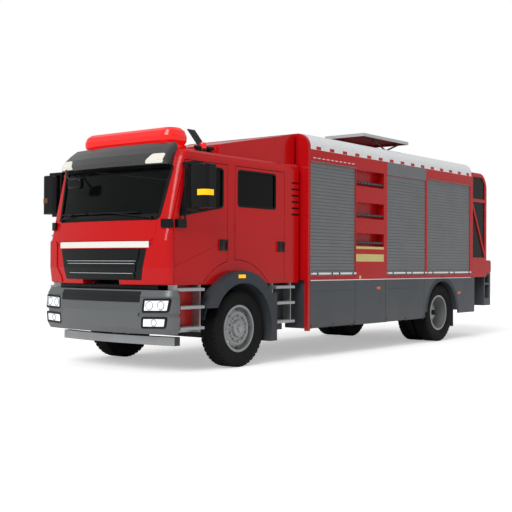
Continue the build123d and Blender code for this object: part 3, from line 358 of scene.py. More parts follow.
def surface(name, colour, second, roughness, grain, depth, patch=350, metallic=0.0, spread=0.05,
            stretch=(1, 1, 1), dust=0.0, shine=0.5, coat=(0, 0.03), glow=(0, "#FFFFFF"), alpha=1):
    # Two close tones in patches, a grain in the bump, road dust near the ground. Grain, its
    # depth, patches and dust speckles are in mm. A coat is a weight and a roughness
    material = bpy.data.materials.new(name)
    material.use_nodes = True
    tree = material.node_tree
    shader = tree.nodes["Principled BSDF"]
    settings = {"Metallic": metallic, "Specular IOR Level": shine, "Alpha": alpha,
                "Coat Weight": coat[0], "Coat Roughness": coat[1],
                "Emission Strength": glow[0], "Emission Color": hexColour(glow[1])}
    for key, value in settings.items():
        shader.inputs[key].default_value = value
    place = addNode(tree, "ShaderNodeTexCoord").outputs["Object"]
    patches = addNode(tree, "ShaderNodeTexNoise", inputs={"Vector": place, "Scale": 1000 / patch,
                                                          "Detail": 4.0})
    tint = addNode(tree, "ShaderNodeMix", {"data_type": "RGBA"},
                   {0: patches.outputs["Fac"], 6: hexColour(colour), 7: hexColour(second)})
    baseColour = tint.outputs[2]
    if dust:
        height = addNode(tree, "ShaderNodeSeparateXYZ", inputs={0: place}).outputs["Z"]
        nearRoad = addNode(tree, "ShaderNodeMapRange",
                           inputs={"Value": height, "From Min": roadDust["from"],
                                   "From Max": roadDust["full"], "To Min": 0.0, "To Max": dust})
        speckle = addNode(tree, "ShaderNodeTexNoise",
                          inputs={"Vector": place, "Scale": 1000 / roadDust["speckle"],
                                  "Detail": 5.0})
        amount = addNode(tree, "ShaderNodeMath", {"operation": "MULTIPLY"},
                         {0: nearRoad.outputs[0], 1: speckle.outputs["Fac"]})
        dusted = addNode(tree, "ShaderNodeMix", {"data_type": "RGBA"},
                         {0: amount.outputs[0], 6: baseColour, 7: hexColour(roadDust["colour"])})
        baseColour = dusted.outputs[2]
    tree.links.new(baseColour, shader.inputs["Base Color"])
    dull = addNode(tree, "ShaderNodeMapRange",
                   inputs={"Value": patches.outputs["Fac"], "From Min": 0.3, "From Max": 0.7,
                           "To Min": max(roughness - spread, 0.01), "To Max": roughness + spread})
    tree.links.new(dull.outputs[0], shader.inputs["Roughness"])
    stretched = addNode(tree, "ShaderNodeMapping", inputs={"Vector": place, "Scale": stretch})
    grains = addNode(tree, "ShaderNodeTexNoise", inputs={"Vector": stretched.outputs[0],
                                                         "Scale": 1000 / grain, "Detail": 2.0})
    bump = addNode(tree, "ShaderNodeBump", inputs={"Height": grains.outputs["Fac"],
                                                   "Strength": 0.5, "Distance": depth / 1000})
    tree.links.new(bump.outputs[0], shader.inputs["Normal"])
    return material


# Sprayed and baked enamel: a deep even gloss with faint orange peel, 40 mm apart to show
enamel = {"coat": (0.2, 0.05), "shine": 0.25}
cabRed = surface("glossEnamelCabRed", "#C8060C", "#C2050A", 0.22, 40, 0.02, dust=0.15, **enamel)
bodyRed = surface("glossEnamelBodyRed", "#BE0B12", "#B8090F", 0.26, 40, 0.02, dust=0.15, **enamel)
bandWhite = surface("glossEnamelWhite", "#EEF0F1", "#E6E9EA", 0.3, 14, 0.05, **enamel)
skirtGrey = surface("satinEnamelGrey", "#484E54", "#434950", 0.42, 10, 0.06, dust=0.3, shine=0.4)
bumperSilver = surface("satinEnamelSilver", "#696D70", "#636769", 0.34, 12, 0.05, metallic=0.35,
                       dust=0.2, coat=(0.3, 0.08))
bumperBlack = surface("satinEnamelBlack", "#1B1D1F", "#151719", 0.36, 10, 0.05, shine=0.3)
lidPaint = surface("flatPrimerRedBrown", "#7C3B3A", "#733432", 0.5, 8, 0.08)
# The same pale finish colours the painted highlights on the grille's slats
lidRimAndSlatHighlight = surface("anodisedRimPaleAndSlatHighlight", "#C9CFD1", "#BFC5C7", 0.36, 10, 0.04, metallic=0.3)

# Anodised aluminium: fine lines drawn along the slats, a dull even sheen
shutterAlu = surface("anodisedAluminiumSlats", "#7E8184", "#777A7D", 0.44, 9, 0.12, metallic=0.45,
                     stretch=(0.06, 1, 1))
stepAlu = surface("chequeredAluminium", "#B9BCBE", "#A8ABAD", 0.36, 16, 1.2, metallic=0.75)
# Also colours the strip under the shutters, where the white is a painted highlight
railWhiteAndLedgeHighlight = surface("powderCoatWhiteAndLedgeHighlight", "#F0F1F1", "#E7E9E9", 0.38, 5, 0.08)

# Mouldings: grained polypropylene is dull, ABS covers are smooth and glossier
trimGrey = surface("grainedPolypropyleneGrey", "#3A4046", "#34393F", 0.55, 5, 0.25, dust=0.15,
                   shine=0.3)
# Also the black plates under the grille and behind the air gills, where the black is painted shade
blackMouldingAndShade = surface("mouldedAbsBlackAndPaintedShade", "#101214", "#0C0E0F", 0.34, 8, 0.06, shine=0.28)
mirrorBlack = surface("mouldedAbsMirror", "#0C0E10", "#08090A", 0.26, 8, 0.05, shine=0.28)
visorGrey = surface("smokedAcrylicGrey", "#343537", "#2E2F31", 0.24, 14, 0.04, coat=(0.4, 0.05))
sealRubber = surface("extrudedRubberSeal", "#08090A", "#060707", 0.5, 4, 0.1, shine=0.2)
dashPlastic = surface("softTouchDash", "#2A2C2E", "#232527", 0.6, 4, 0.2)

# Vulcanised rubber: nearly black and dull, dusted where it meets the road
tyreRubber = surface("vulcanisedTyreRubber", "#141517", "#0F1011", 0.72, 6, 0.35, patch=120,
                     dust=0.05, shine=0.15)

# Steel and iron: enamelled frame, rough castings, bright nuts, painted wheels
framePaint = surface("chassisEnamelDark", "#1D2022", "#17191B", 0.5, 9, 0.2, dust=0.4)
castIron = surface("sandCastIron", "#2A2B2D", "#222325", 0.62, 5, 0.5, metallic=0.4, dust=0.4)
rimSilver = surface("wheelEnamelSilver", "#A6A9AB", "#999C9E", 0.34, 8, 0.08, metallic=0.55,
                    dust=0.25)
nutSteel = surface("zincPlatedSteel", "#B4B7B8", "#9EA1A2", 0.3, 5, 0.08, metallic=0.9)
armSteel = surface("blackenedSteel", "#3A3D3F", "#323537", 0.38, 7, 0.08, metallic=0.7)

# Lamps and reflectors: moulded lenses with a smooth face, and those that are lit glow
lampWhite = surface("litLampLens", "#F2F6F8", "#E9F0F4", 0.12, 12, 0.3, glow=(0.4, "#F4F8FF"))
lampBowl = surface("headlampBowlEdge", "#8E959B", "#838A90", 0.2, 7, 0.05, metallic=0.3)
markerCream = surface("markerLampLens", "#E6E4D8", "#DAD8CC", 0.14, 10, 0.2,
                      glow=(0.12, "#F2F0E2"))
# The strip trim's glow is a painted highlight
stripTrimPaintedHighlight = surface("polishedStripTrimPaintedHighlight", "#E9E8E2", "#DFDDD6", 0.2, 14, 0.04, metallic=0.4,
                      glow=(0.3, "#F3F0E4"))
beaconRed = surface("litBeaconDome", "#F20D0D", "#E60A0A", 0.16, 18, 0.2, coat=(0.5, 0.03),
                    glow=(0.3, "#FF1710"))
lampRed = surface("mouldedRedLens", "#C21015", "#B30D12", 0.18, 7, 0.5)
amberLens = surface("litAmberLens", "#FFB000", "#FFA400", 0.2, 7, 0.4, glow=(0.75, "#FFB400"))
amberUnlit = surface("unlitAmberLens", "#6B4410", "#5E3B0D", 0.2, 7, 0.4)
reflectorOrange = surface("prismReflectorOrange", "#F26A16", "#E66010", 0.25, 5, 0.5)
tapeYellow = surface("reflectiveTapeYellow", "#D9CC82", "#CFC076", 0.35, 6, 0.15)
paintWhite = surface("paintedDashWhite", "#F1E6E6", "#EADDDD", 0.35, 10, 0.04)

# Seats: woven cloth, its threads 2 mm in life and drawn at 6 mm to show
seatCloth = surface("wovenSeatCloth", "#34373B", "#2B2E31", 0.85, 6, 0.8)


def shadeDarkenedGlass(name, colour, seen):
    # Float glass, smooth: its near-black colour is painted shade of the dim space behind it, and
    # its alpha lets a little of the inside show
    return surface(name, colour, colour, 0.05, 200, 0.02, spread=0.02, shine=0.16, alpha=seen)


windscreenGlass = shadeDarkenedGlass("laminatedWindscreenPaintedShade", "#0B0D0E", 0.8)
sideGlass = shadeDarkenedGlass("sideGlassPaintedShade", "#020303", 0.96)
darkTailGlass = shadeDarkenedGlass("tailGlassPaintedShade", "#121416", 0.9)

nodeMaterials = {
    "chassis_frame": framePaint, "front_axle": castIron, "rear_axle": castIron,
    "engine_and_pump": castIron, "cab_shell": cabRed, "windscreen": windscreenGlass,
    "front_grille": blackMouldingAndShade, "strip_lamp": stripTrimPaintedHighlight, "front_bumper": bumperSilver,
    "headlamps": lampWhite, "sun_visor": visorGrey, "roof_lights": beaconRed,
    "roof_fairing": cabRed, "cab_interior": dashPlastic, "cab_steps": stepAlu,
    "mudguards": trimGrey, "body_shell": bodyRed, "roof_band": bandWhite,
    "shutters": shutterAlu, "grab_rails": railWhiteAndLedgeHighlight, "side_skirts": skirtGrey,
    "tail_frame": bodyRed, "tail_glass": darkTailGlass, "tail_bumper": skirtGrey,
    "tail_lamps": lampRed, "hatch_lid": lidPaint, "hatch_arms_lower": armSteel,
    "hatch_arms_upper": armSteel, "hatch_coaming": bandWhite,
}
sideMaterials = {
    "door_front": cabRed, "door_rear": cabRed, "glass_front": sideGlass,
    "glass_rear": sideGlass, "mirror": mirrorBlack, "flap_front": skirtGrey,
    "flap_rear": skirtGrey, "knuckle": castIron, "tyre_front": tyreRubber,
    "rim_front": rimSilver, "tyre_rear": tyreRubber, "rim_rear": rimSilver,
}
for part, material in sideMaterials.items():
    for hand in ("left", "right"):
        nodeMaterials[f"{part}_{hand}"] = material
for part, material in nodeMaterials.items():
    nodes[part].data.materials.clear()
    nodes[part].data.materials.append(material)
print("materials on", len(nodeMaterials), "frame pieces")

# Road tyres: straight grooves round the middle, bevelled lugs on the shoulders, a full sidewall
tyreShape = {"sidewall": ((0.1, 0.2995), (0.104, 0.313), (0.122, 0.334), (0.134, 0.364),
                          (0.138, 0.4), (0.1365, 0.437), (0.131, 0.468), (0.12, 0.49),
                          (0.11, 0.4962), (0.08, 0.4962), (0.0785, 0.507)),
             "grooves": (0.0555, 0.0185), "grooveHalf": 0.006, "grooveDepth": 0.011,
             "grooveTaper": 0.001, "halfWidth": 0.138, "spins": 88, "lugs": 44, "lugArc": 0.054,
             "lugLow": (0.078, 0.4945), "lugHigh": (0.12, 0.5065), "lugBevel": 0.004}
frontTyreY = (tyreLow.y + tyreHigh.y) / 2
rearOuterY = rearHigh.y - tyreShape["halfWidth"]
rearInnerY = rearLow.y + tyreShape["halfWidth"]


def roadTyre(x, y):
    profile = list(tyreShape["sidewall"])
    top = profile[-1][1]
    half = tyreShape["grooveHalf"]
    floorHalf = half - tyreShape["grooveTaper"]
    floorRadius = top - tyreShape["grooveDepth"]
    for groove in tyreShape["grooves"]:
        profile += [(groove + half, top), (groove + floorHalf, floorRadius),
                    (groove - floorHalf, floorRadius), (groove - half, top)]
    profile += [(-across, radius) for across, radius in reversed(profile)]
    profile.append(profile[0])
    body = spunLine(drawnLine([(x, y + across, wheelRadius + radius)
                               for across, radius in profile]),
                    (x, y, wheelRadius), tyreShape["spins"])
    lowY, lowRadius = tyreShape["lugLow"]
    highY, highRadius = tyreShape["lugHigh"]
    arc = tyreShape["lugArc"] / 2
    rings = []
    for side in (1, -1):
        lug = bevelledBox((x - arc, y + side * lowY, wheelRadius + lowRadius),
                          (x + arc, y + side * highY, wheelRadius + highRadius),
                          tyreShape["lugBevel"], 1)
        rings.append(ringOf(lug, tyreShape["lugs"], (x, y, wheelRadius)))
    return joined([body] + rings)


frontTyre = roadTyre(frontAxleX, frontTyreY)
rearTyre = joined([copied(frontTyre, (rearAxleX - frontAxleX, y - frontTyreY, 0))
                   for y in (rearOuterY, rearInnerY)])
for place, tyre in (("front", frontTyre), ("rear", rearTyre)):
    pair = fittedPair(tyre, f"treadedTyre_{place}", f"wheel_{place}", tyreRubber)
    for hand, piece in pair.items():
        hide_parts(f"tyre_{place}_{hand}")
print("tyres with tread")

# Wheel nuts on their studs and a cap over each hub
wheelNuts = {"count": 10, "circle": 0.1675, "radius": 0.0195, "front": (1.144, 1.168),
             "rear": (0.934, 0.976), "frontCap": (1.1815, 1.197, 0.05),
             "rearCap": (1.0595, 1.069, 0.042), "bevel": 0.002, "capBevel": 0.004}
for place, axleX in (("front", frontAxleX), ("rear", rearAxleX)):
    low, high = wheelNuts[place]
    z = wheelRadius + wheelNuts["circle"]
    nut = turnedRod((axleX, low, z), (axleX, high, z), wheelNuts["radius"], 6,
                    wheelNuts["bevel"])
    nuts = ringOf(nut, wheelNuts["count"], (axleX, 0, wheelRadius))
    capLow, capHigh, capRadius = wheelNuts[f"{place}Cap"]
    cap = turnedRod((axleX, capLow, wheelRadius), (axleX, capHigh, wheelRadius), capRadius, 40,
                    wheelNuts["capBevel"])
    fittedPair(joined([nuts, cap]), f"wheelNuts_{place}", f"wheel_{place}", nutSteel)
print("wheel nuts and hub caps")


def platesAt(places, size, y, thickness, bevel=0.001):
    # Thin plates of one size on the left and right sides, at the given X and Z middles
    width, height = size
    plates = [bevelledBox((x - width / 2, y, z - height / 2),
                          (x + width / 2, y + thickness, z + height / 2), bevel, 1)
              for x, z in places]
    return bothSides(joined(plates))


def rowPlates(row):
    # A row of plates that runs back from near the band's front end
    first = bandFrontX - row["start"]
    places = [(first - step * row["pitch"], row["z"]) for step in range(row["count"])]
    return platesAt(places, row["size"], row["y"], row["thickness"], row["bevel"])


# The white band: red notches along its lower edge, painted dashes on the header below
bandNotches = {"count": 15, "start": 0.2, "pitch": 0.35, "size": (0.12, 0.045), "z": 3.046,
               "y": bodyHalf - 0.0008, "thickness": 0.0025, "bevel": 0.001}
headerDashes = {"count": 10, "start": 0.1, "pitch": 0.115, "size": (0.07, 0.012), "z": 2.9,
                "y": onBody, "thickness": 0.002, "bevel": 0.0004}
fitted(rowPlates(bandNotches), "bandNotches", "truck", bodyRed)
fitted(rowPlates(headerDashes), "paintedDashes", "truck", paintWhite)

# Sheet metal along the lockers: header over the middle shutter, drip rails, and a white strip under
# the shutters whose colour is a painted highlight on the flaps' top edge
lockerX = {"one": (0.418, 1.628), "two": (-1.847, -0.532), "three": (-3.582, -1.902)}
# Each strip has its range of heights, its depth into and out from the sheet, and its bevel
sheetMetal = {"header": {"z": (2.812, 3.016), "into": sink, "out": 0.004, "bevel": 0.0015},
              "dripRail": {"z": (2.834, 2.85), "into": 0.001, "out": 0.014, "bevel": 0.003},
              # The white of the trim strip is a painted highlight on the ledge
              "trim": {"z": (1.118, 1.13), "into": sink, "out": 0.005, "bevel": 0.0015}}
ledgeHighlightX = (bodyRearX + 0.02, 1.62)


def sideStrips(strip, ranges):
    strips = [bevelledBox((low, bodyHalf - strip["into"], strip["z"][0]),
                          (high, bodyHalf + strip["out"], strip["z"][1]), strip["bevel"])
              for low, high in ranges]
    return bothSides(joined(strips))


fitted(sideStrips(sheetMetal["header"], [lockerX["two"]]), "headerPlates", "truck",
       shutterAlu)
fitted(sideStrips(sheetMetal["dripRail"], [lockerX["one"], lockerX["three"]]), "dripRails",
       "truck", shutterAlu)
fitted(sideStrips(sheetMetal["trim"], [ledgeHighlightX]), "ledgeHighlightStrip", "truck", railWhiteAndLedgeHighlight)

# Climbing bay: ribbed grips on the rungs, reflective tape on the panels between the pockets
climbingBay = {"x": (-0.428, 0.394), "rungY": 1.22, "rungZ": (2.63, 2.131, 1.699),
               "gripRadius": 0.021, "collars": 9, "collarShare": 0.86, "collarBevel": 0.004,
               "tapeZ": ((1.6, 1.638), (1.405, 1.52)), "tapeX": (-0.43, 0.396),
               "tapeThickness": 0.0015}
gripLow, gripHigh = climbingBay["x"]
collarPitch = (gripHigh - gripLow) / climbingBay["collars"]
grips = []
for z in climbingBay["rungZ"]:
    for step in range(climbingBay["collars"]):
        start = gripLow + step * collarPitch
        grips.append(turnedRod((start, climbingBay["rungY"], z),
                               (start + collarPitch * climbingBay["collarShare"],
                                climbingBay["rungY"], z),
                               climbingBay["gripRadius"], 20, climbingBay["collarBevel"]))
fitted(bothSides(joined(grips)), "rungGrips", "truck", trimGrey)
tapeRear, tapeFront = climbingBay["tapeX"]
tapes = [bevelledBox((tapeRear, onBody, low),
                     (tapeFront, bodyHalf + climbingBay["tapeThickness"], high), 0.0005, 1)
         for low, high in climbingBay["tapeZ"]]
fitted(bothSides(joined(tapes)), "reflectiveTape", "truck", tapeYellow)

# Clips that hold the shutters' handle tubes, near both ends and on each side of the middle
tubeClips = {"y": 1.278, "z": 1.222, "radius": 0.0205, "length": 0.03, "inset": 0.13,
             "apart": 0.2, "bevel": 0.003}
clips = []
for low, high in lockerX.values():
    middle, beside = (low + high) / 2, tubeClips["apart"] / 2
    for x in (low + tubeClips["inset"], middle - beside, middle + beside,
              high - tubeClips["inset"]):
        clips.append(turnedRod((x - tubeClips["length"] / 2, tubeClips["y"], tubeClips["z"]),
                               (x + tubeClips["length"] / 2, tubeClips["y"], tubeClips["z"]),
                               tubeClips["radius"], 20, tubeClips["bevel"]))
fitted(bothSides(joined(clips)), "handleTubeClips", "truck", blackMouldingAndShade)

# Black plates behind the cab's air gills: painted shade in the slots
gillShade = {"levels": 6, "low": 2.0535, "pitch": 0.09, "height": 0.025, "x": (1.7362, 1.912),
         "y": (1.1022, 1.1047), "bevel": 0.0005}
gillShadePlates = []
for step in range(gillShade["levels"]):
    z = gillShade["low"] + step * gillShade["pitch"]
    gillShadePlates.append(bevelledBox((gillShade["x"][0], gillShade["y"][0], z),
                                  (gillShade["x"][1], gillShade["y"][1], z + gillShade["height"]),
                                  gillShade["bevel"], 1))
fitted(bothSides(joined(gillShadePlates)), "gillPaintedShade", "truck", blackMouldingAndShade)

# Small marks low on the side: a yellow tag, orange reflectors, lit markers on the flares
sideMarks = {
    "yellowTags": {"places": [(0.28, 1.16)], "size": (0.05, 0.05), "thickness": 0.004,
                   "bevel": 0.001, "slot": "rail_white", "material": tapeYellow},
    "sideReflectors": {"places": [(-0.27, 0.985), (-3.12, 0.85)], "size": (0.1, 0.045),
                       "thickness": 0.007, "bevel": 0.002, "slot": "lamp_red",
                       "material": reflectorOrange},
    "flareMarkers": {"places": [(frontAxleX + 0.05, 1.196)], "size": (0.14, 0.045),
                     "thickness": 0.012, "bevel": 0.004, "slot": "lamp_clear",
                     "material": amberLens},
}
for name, mark in sideMarks.items():
    plates = platesAt(mark["places"], mark["size"], onBody, mark["thickness"], mark["bevel"])
    fitted(plates, name, "truck", mark["material"])
print("body markings and fittings")

# Rubber frames round the cab's windows
windowSeals = {"width": 0.026, "grow": 0.008, "depth": 0.02, "radius": 0.05, "stand": -0.016,
               "front": ((0.285, 2.093), (0.285, 2.59), (0.955, 2.6), (1.123, 1.945)),
               "rear": ((-0.02, 2.12), (-0.02, 2.6), (-0.843, 2.6), (-0.843, 2.12)),
               "screen": ((-0.925, 1.905), (0.925, 1.905), (1.005, 2.59), (-1.005, 2.59)),
               "screenWidth": 0.04, "screenRadius": 0.065}
for place in ("front", "rear"):
    corners = grown([(frontAxleX + x, windowSeals["stand"], z) for x, z in windowSeals[place]],
                    windowSeals["grow"])
    seal = frameOutline(corners, windowSeals["width"], (0, windowSeals["depth"], 0),
                        windowSeals["radius"])
    for vertex in seal.data.vertices:
        vertex.co.y += cabSideY(vertex.co.x, vertex.co.z)
    fittedPair(seal, f"windowSeal_{place}", f"door_{place}", sealRubber)
corners = grown([(windowSeals["stand"], y, z) for y, z in windowSeals["screen"]],
                windowSeals["grow"])
screenSeal = wrapped(frameOutline(corners, windowSeals["screenWidth"],
                                  (windowSeals["depth"], 0, 0), windowSeals["screenRadius"]),
                     cabFrontX)
fitted(screenSeal, "windscreenSeal", "truck", sealRubber)

# The screen's black lower band, and two wipers parked above it. Depths are ahead of the cab's face
screenBand = {"outline": ((-0.9, 1.925), (0.9, 1.925), (0.905, 1.975), (-0.905, 1.975)),
              "behind": -0.013, "thickness": 0.004}
band = platedOutline([(screenBand["behind"], y, z) for y, z in screenBand["outline"]],
                     (screenBand["thickness"], 0, 0), 0)
fitted(wrapped(band, cabFrontX), "screenLowerBand", "truck", blackMouldingAndShade)
wipers = {"sweeps": ({"from": -0.88, "to": -0.33, "pivotY": -0.87},
                     {"from": -0.27, "to": 0.6, "pivotY": 0.82}),
          "bladeZ": 2.0, "bladeHalf": 0.008, "bladeDepth": (0.012, 0.026), "bladeBevel": 0.002,
          "pivotZ": 1.93, "armDepth": (0.032, 0.03), "armRadius": 0.009, "armBevel": 0.002,
          "pivotDepth": (-0.005, 0.042), "pivotRadius": 0.017, "pivotBevel": 0.003}
wiperPieces = []
for sweep in wipers["sweeps"]:
    near, far = wipers["bladeDepth"]
    z, half = wipers["bladeZ"], wipers["bladeHalf"]
    blade = bevelledBox((near, sweep["from"], z - half), (far, sweep["to"], z + half),
                        wipers["bladeBevel"], 1, 5)
    wiperPieces.append(wrapped(blade, cabFrontX))
    middle = (sweep["from"] + sweep["to"]) / 2
    pivotY, pivotZ = sweep["pivotY"], wipers["pivotZ"]
    pivotX = cabFrontX(pivotY, pivotZ)
    atPivot, atBlade = wipers["armDepth"]
    wiperPieces.append(turnedRod((pivotX + atPivot, pivotY, pivotZ),
                                 (cabFrontX(middle, z) + atBlade, middle, z),
                                 wipers["armRadius"], 12, wipers["armBevel"]))
    inner, outer = wipers["pivotDepth"]
    wiperPieces.append(turnedRod((pivotX + inner, pivotY, pivotZ), (pivotX + outer, pivotY, pivotZ),
                                 wipers["pivotRadius"], 20, wipers["pivotBevel"]))
fitted(joined(wiperPieces), "wipers", "truck", blackMouldingAndShade)
print("window seals and wipers")

# Front of the cab. Depths are ahead of the cab's, the visor's or the bumper's face
markerLamp = {"outline": ((0.67, 2.602), (0.945, 2.602), (0.945, 2.728), (0.75, 2.728)),
              "depth": -0.004, "thickness": 0.011, "radius": 0.03}
markers = platedOutline([(markerLamp["depth"], y, z) for y, z in markerLamp["outline"]],
                        (markerLamp["thickness"], 0, 0), markerLamp["radius"])
fitted(bothSides(wrapped(markers, visorFrontX)), "visorMarkerLamps", "truck",
       markerCream)

# Painted highlights: pale strips along the grille's slat edges, each with its height and half its
# length
slatHighlights = {"lines": ((1.389, 0.64), (1.356, 0.62), (1.234, 0.585)), "half": 0.0035,
             "depth": (0.013, 0.0185), "bevel": 0.001}
edges = []
for z, reach in slatHighlights["lines"]:
    near, far = slatHighlights["depth"]
    edge = bevelledBox((near, -reach, z - slatHighlights["half"]), (far, reach, z + slatHighlights["half"]),
                       slatHighlights["bevel"], 1, 5)
    edges.append(wrapped(edge, cabFrontX))
fitted(joined(edges), "grilleSlatHighlights", "truck", lidRimAndSlatHighlight)

# The bumper's dark upper panel
bumperPanel = {"half": 0.72, "z": (0.88, 1.014), "depth": 0.0015, "thickness": 0.005,
               "radius": 0.01}
low, high = bumperPanel["z"]
corners = [(bumperPanel["depth"], side * bumperPanel["half"], z)
           for side, z in ((-1, low), (1, low), (1, high), (-1, high))]
panel = platedOutline(corners, (bumperPanel["thickness"], 0, 0), bumperPanel["radius"], 7)
fitted(wrapped(panel, bumperFrontX), "bumperDarkPanel", "truck", bumperBlack)

# Headlamps: a dark bezel round each lens, and the rims of the bowls inside, as y, z and radius
lampTrim = {"upper": ((0.77, 0.765), (1.13, 0.775), (1.15, 0.925), (0.785, 0.915)),
            "lower": ((0.755, 0.57), (1.09, 0.58), (1.115, 0.7), (0.765, 0.69)),
            "depth": -0.002, "border": 0.012, "bezel": 0.026, "rise": 0.006, "radius": 0.03,
            "bowls": ((0.865, 0.843, 0.05), (1.03, 0.848, 0.05), (0.93, 0.634, 0.038)),
            "bowlTube": 0.0045}
bezels, bowls = [], []
for lens in (lampTrim["upper"], lampTrim["lower"]):
    corners = grown([(lampTrim["depth"], y, z) for y, z in lens], lampTrim["border"])
    bezel = frameOutline(corners, lampTrim["bezel"], (lampTrim["rise"], 0, 0),
                         lampTrim["radius"])
    bezels.append(wrapped(bezel, bumperFrontX))
fitted(bothSides(joined(bezels)), "headlampBezels", "truck", blackMouldingAndShade)
for y, z, radius in lampTrim["bowls"]:
    clearSelection()
    bpy.ops.mesh.primitive_torus_add(location=(0.0, y, z), rotation=(0, math.pi / 2, 0),
                                     major_radius=radius, minor_radius=lampTrim["bowlTube"],
                                     major_segments=40, minor_segments=8)
    bowl = bpy.context.object
    applyPlace(bowl)
    bowls.append(wrapped(bowl, bumperFrontX))
fitted(bothSides(joined(bowls)), "headlampBowlEdges", "truck", lampBowl)

# A black plate in the gap under the grille: painted shade of the recess between cab and bumper
underGrilleShade = {"corners": ((1.235, -0.9, 1.031), (1.262, 0.9, 1.094)), "bevel": 0.006}
fitted(bevelledBox(*fromAxle(underGrilleShade["corners"]), underGrilleShade["bevel"]), "underGrilleShadePlate", "truck",
       blackMouldingAndShade)

# A bright cover on the underrun bar, bent to the same arc
underrun = {"nose": 1.19, "bow": 5.406, "half": 1.03, "z": (0.341, 0.445),
            "depth": (-0.001, 0.004), "bevel": 0.0015}


def underrunX(y, z):
    return frontAxleX + underrun["nose"] - bowDrop(underrun["bow"], y)


(barLow, barHigh), (near, far) = underrun["z"], underrun["depth"]
barCover = bevelledBox((near, -underrun["half"], barLow), (far, underrun["half"], barHigh),
                       underrun["bevel"], 1, 6)
fitted(wrapped(barCover, underrunX), "underrunCover", "truck", stepAlu)
print("front trim")


def ribbonAlong(points, rise, thickness):
    # A band that follows a line of points, raised and given a thickness to one side
    band = drawnLine(points)
    editMode(band)
    bpy.ops.mesh.extrude_region_move(TRANSFORM_OT_translate={"value": (0, 0, rise)})
    objectMode()
    solid = band.modifiers.new("thickness", "SOLIDIFY")
    solid.thickness = thickness
    solid.offset = 1
    activate(band)
    bpy.ops.object.modifier_apply(modifier=solid.name)
    editMode(band)
    bpy.ops.mesh.normals_make_consistent(inside=False)
    objectMode()
    return band


# An indicator round the outer front corner of each mirror's housing. The left one is lit
indicatorFit = {"front": 1.095, "outer": 1.5325, "corner": 0.07, "z": 2.192, "rise": 0.07,
                "innerY": 1.4, "rear": 0.955, "thickness": -0.006, "step": 15}
z, corner = indicatorFit["z"], indicatorFit["corner"]
cornerX = frontAxleX + indicatorFit["front"] - corner
cornerY = indicatorFit["outer"] - corner
lampLine = [(frontAxleX + indicatorFit["rear"], indicatorFit["outer"], z)]
for angle in range(0, 91, indicatorFit["step"]):
    turn = math.radians(angle)
    lampLine.append((cornerX + corner * math.sin(turn), cornerY + corner * math.cos(turn), z))
lampLine.append((frontAxleX + indicatorFit["front"], indicatorFit["innerY"], z))
indicator = ribbonAlong(lampLine, indicatorFit["rise"], indicatorFit["thickness"])

# The half of each mirror's foot that is fixed to the cab's pillar, round its front corner
mirrorFoot = {"x": (1.213, 1.234, 1.25, 1.262, 1.268), "z": 1.801, "faceZ": 1.85, "rise": 0.103,
              "into": 0.004, "innerY": 0.98, "thickness": -0.033}
footLine = [(frontAxleX + x, cabSideY(frontAxleX + x, mirrorFoot["faceZ"]) - mirrorFoot["into"],
             mirrorFoot["z"]) for x in mirrorFoot["x"]]
footLine.append((cabFrontX(mirrorFoot["innerY"], mirrorFoot["faceZ"]), mirrorFoot["innerY"],
                 mirrorFoot["z"]))
foot = ribbonAlong(footLine, mirrorFoot["rise"], mirrorFoot["thickness"])
fittedPair(indicator, "mirrorIndicator", "door_front", amberLens, amberUnlit)
fitted(bothSides(foot), "mirrorFeet", "truck", mirrorBlack)

# A close-view mirror that hangs from the visor's right-hand end
nearMirror = {"arm": ((1.26, -0.82, 2.6), (1.34, -0.72, 2.52), (1.38, -0.58, 2.44)),
              "armRadius": 0.013, "housing": ((1.33, -0.62, 2.33), (1.42, -0.37, 2.47)),
              "bevel": 0.035}
armPoints = fromAxle(nearMirror["arm"])
nearPieces = [turnedRod(start, end, nearMirror["armRadius"], 16)
              for start, end in zip(armPoints, armPoints[1:])]
nearPieces.append(bevelledBox(*fromAxle(nearMirror["housing"]), nearMirror["bevel"], 4))
fitted(joined(nearPieces), "proximityMirror", "truck", mirrorBlack)

# On the roof: a red beacon, a horn on two feet and the slatted bracket by the light bar's end
roofKit = {"beacon": (0.47, 0.93), "base": {"z": (2.79, 2.845), "radius": 0.05, "bevel": 0.005},
           "dome": {"z": (2.845, 2.93), "radius": 0.045, "bevel": 0.018},
           "horn": ((0.6, 0.9, 2.862), (0.31, 0.97, 2.862)), "hornRadius": 0.024,
           "hornBevel": 0.006, "feet": ((0.55, 0.912), (0.36, 0.958)), "footHalf": 0.02,
           "footZ": (2.79, 2.85), "footBevel": 0.004, "slats": 6, "slatStep": 0.026,
           "slat": ((0.56, 0.74, 3.11), (0.5, 0.95, 2.8)), "slatRadius": 0.009}
beaconX, beaconY = frontAxleX + roofKit["beacon"][0], roofKit["beacon"][1]


def beaconDisc(part):
    low, high = part["z"]
    return turnedRod((beaconX, beaconY, low), (beaconX, beaconY, high), part["radius"], 32,
                     part["bevel"])


roofPieces = [beaconDisc(roofKit["base"]),
              turnedRod(*fromAxle(roofKit["horn"]), roofKit["hornRadius"], 24,
                        roofKit["hornBevel"])]
footLow, footHigh = roofKit["footZ"]
for x, y in roofKit["feet"]:
    half = roofKit["footHalf"]
    roofPieces.append(bevelledBox(*fromAxle(((x - half, y - half, footLow),
                                             (x + half, y + half, footHigh))),
                                  roofKit["footBevel"]))
for step in range(roofKit["slats"]):
    slide = step * roofKit["slatStep"]
    ends = [(x - slide, y, z) for x, y, z in roofKit["slat"]]
    roofPieces.append(turnedRod(*fromAxle(ends), roofKit["slatRadius"], 12))
fitted(joined(roofPieces), "roofFittings", "truck", blackMouldingAndShade)
fitted(beaconDisc(roofKit["dome"]), "redBeacon", "truck", beaconRed)

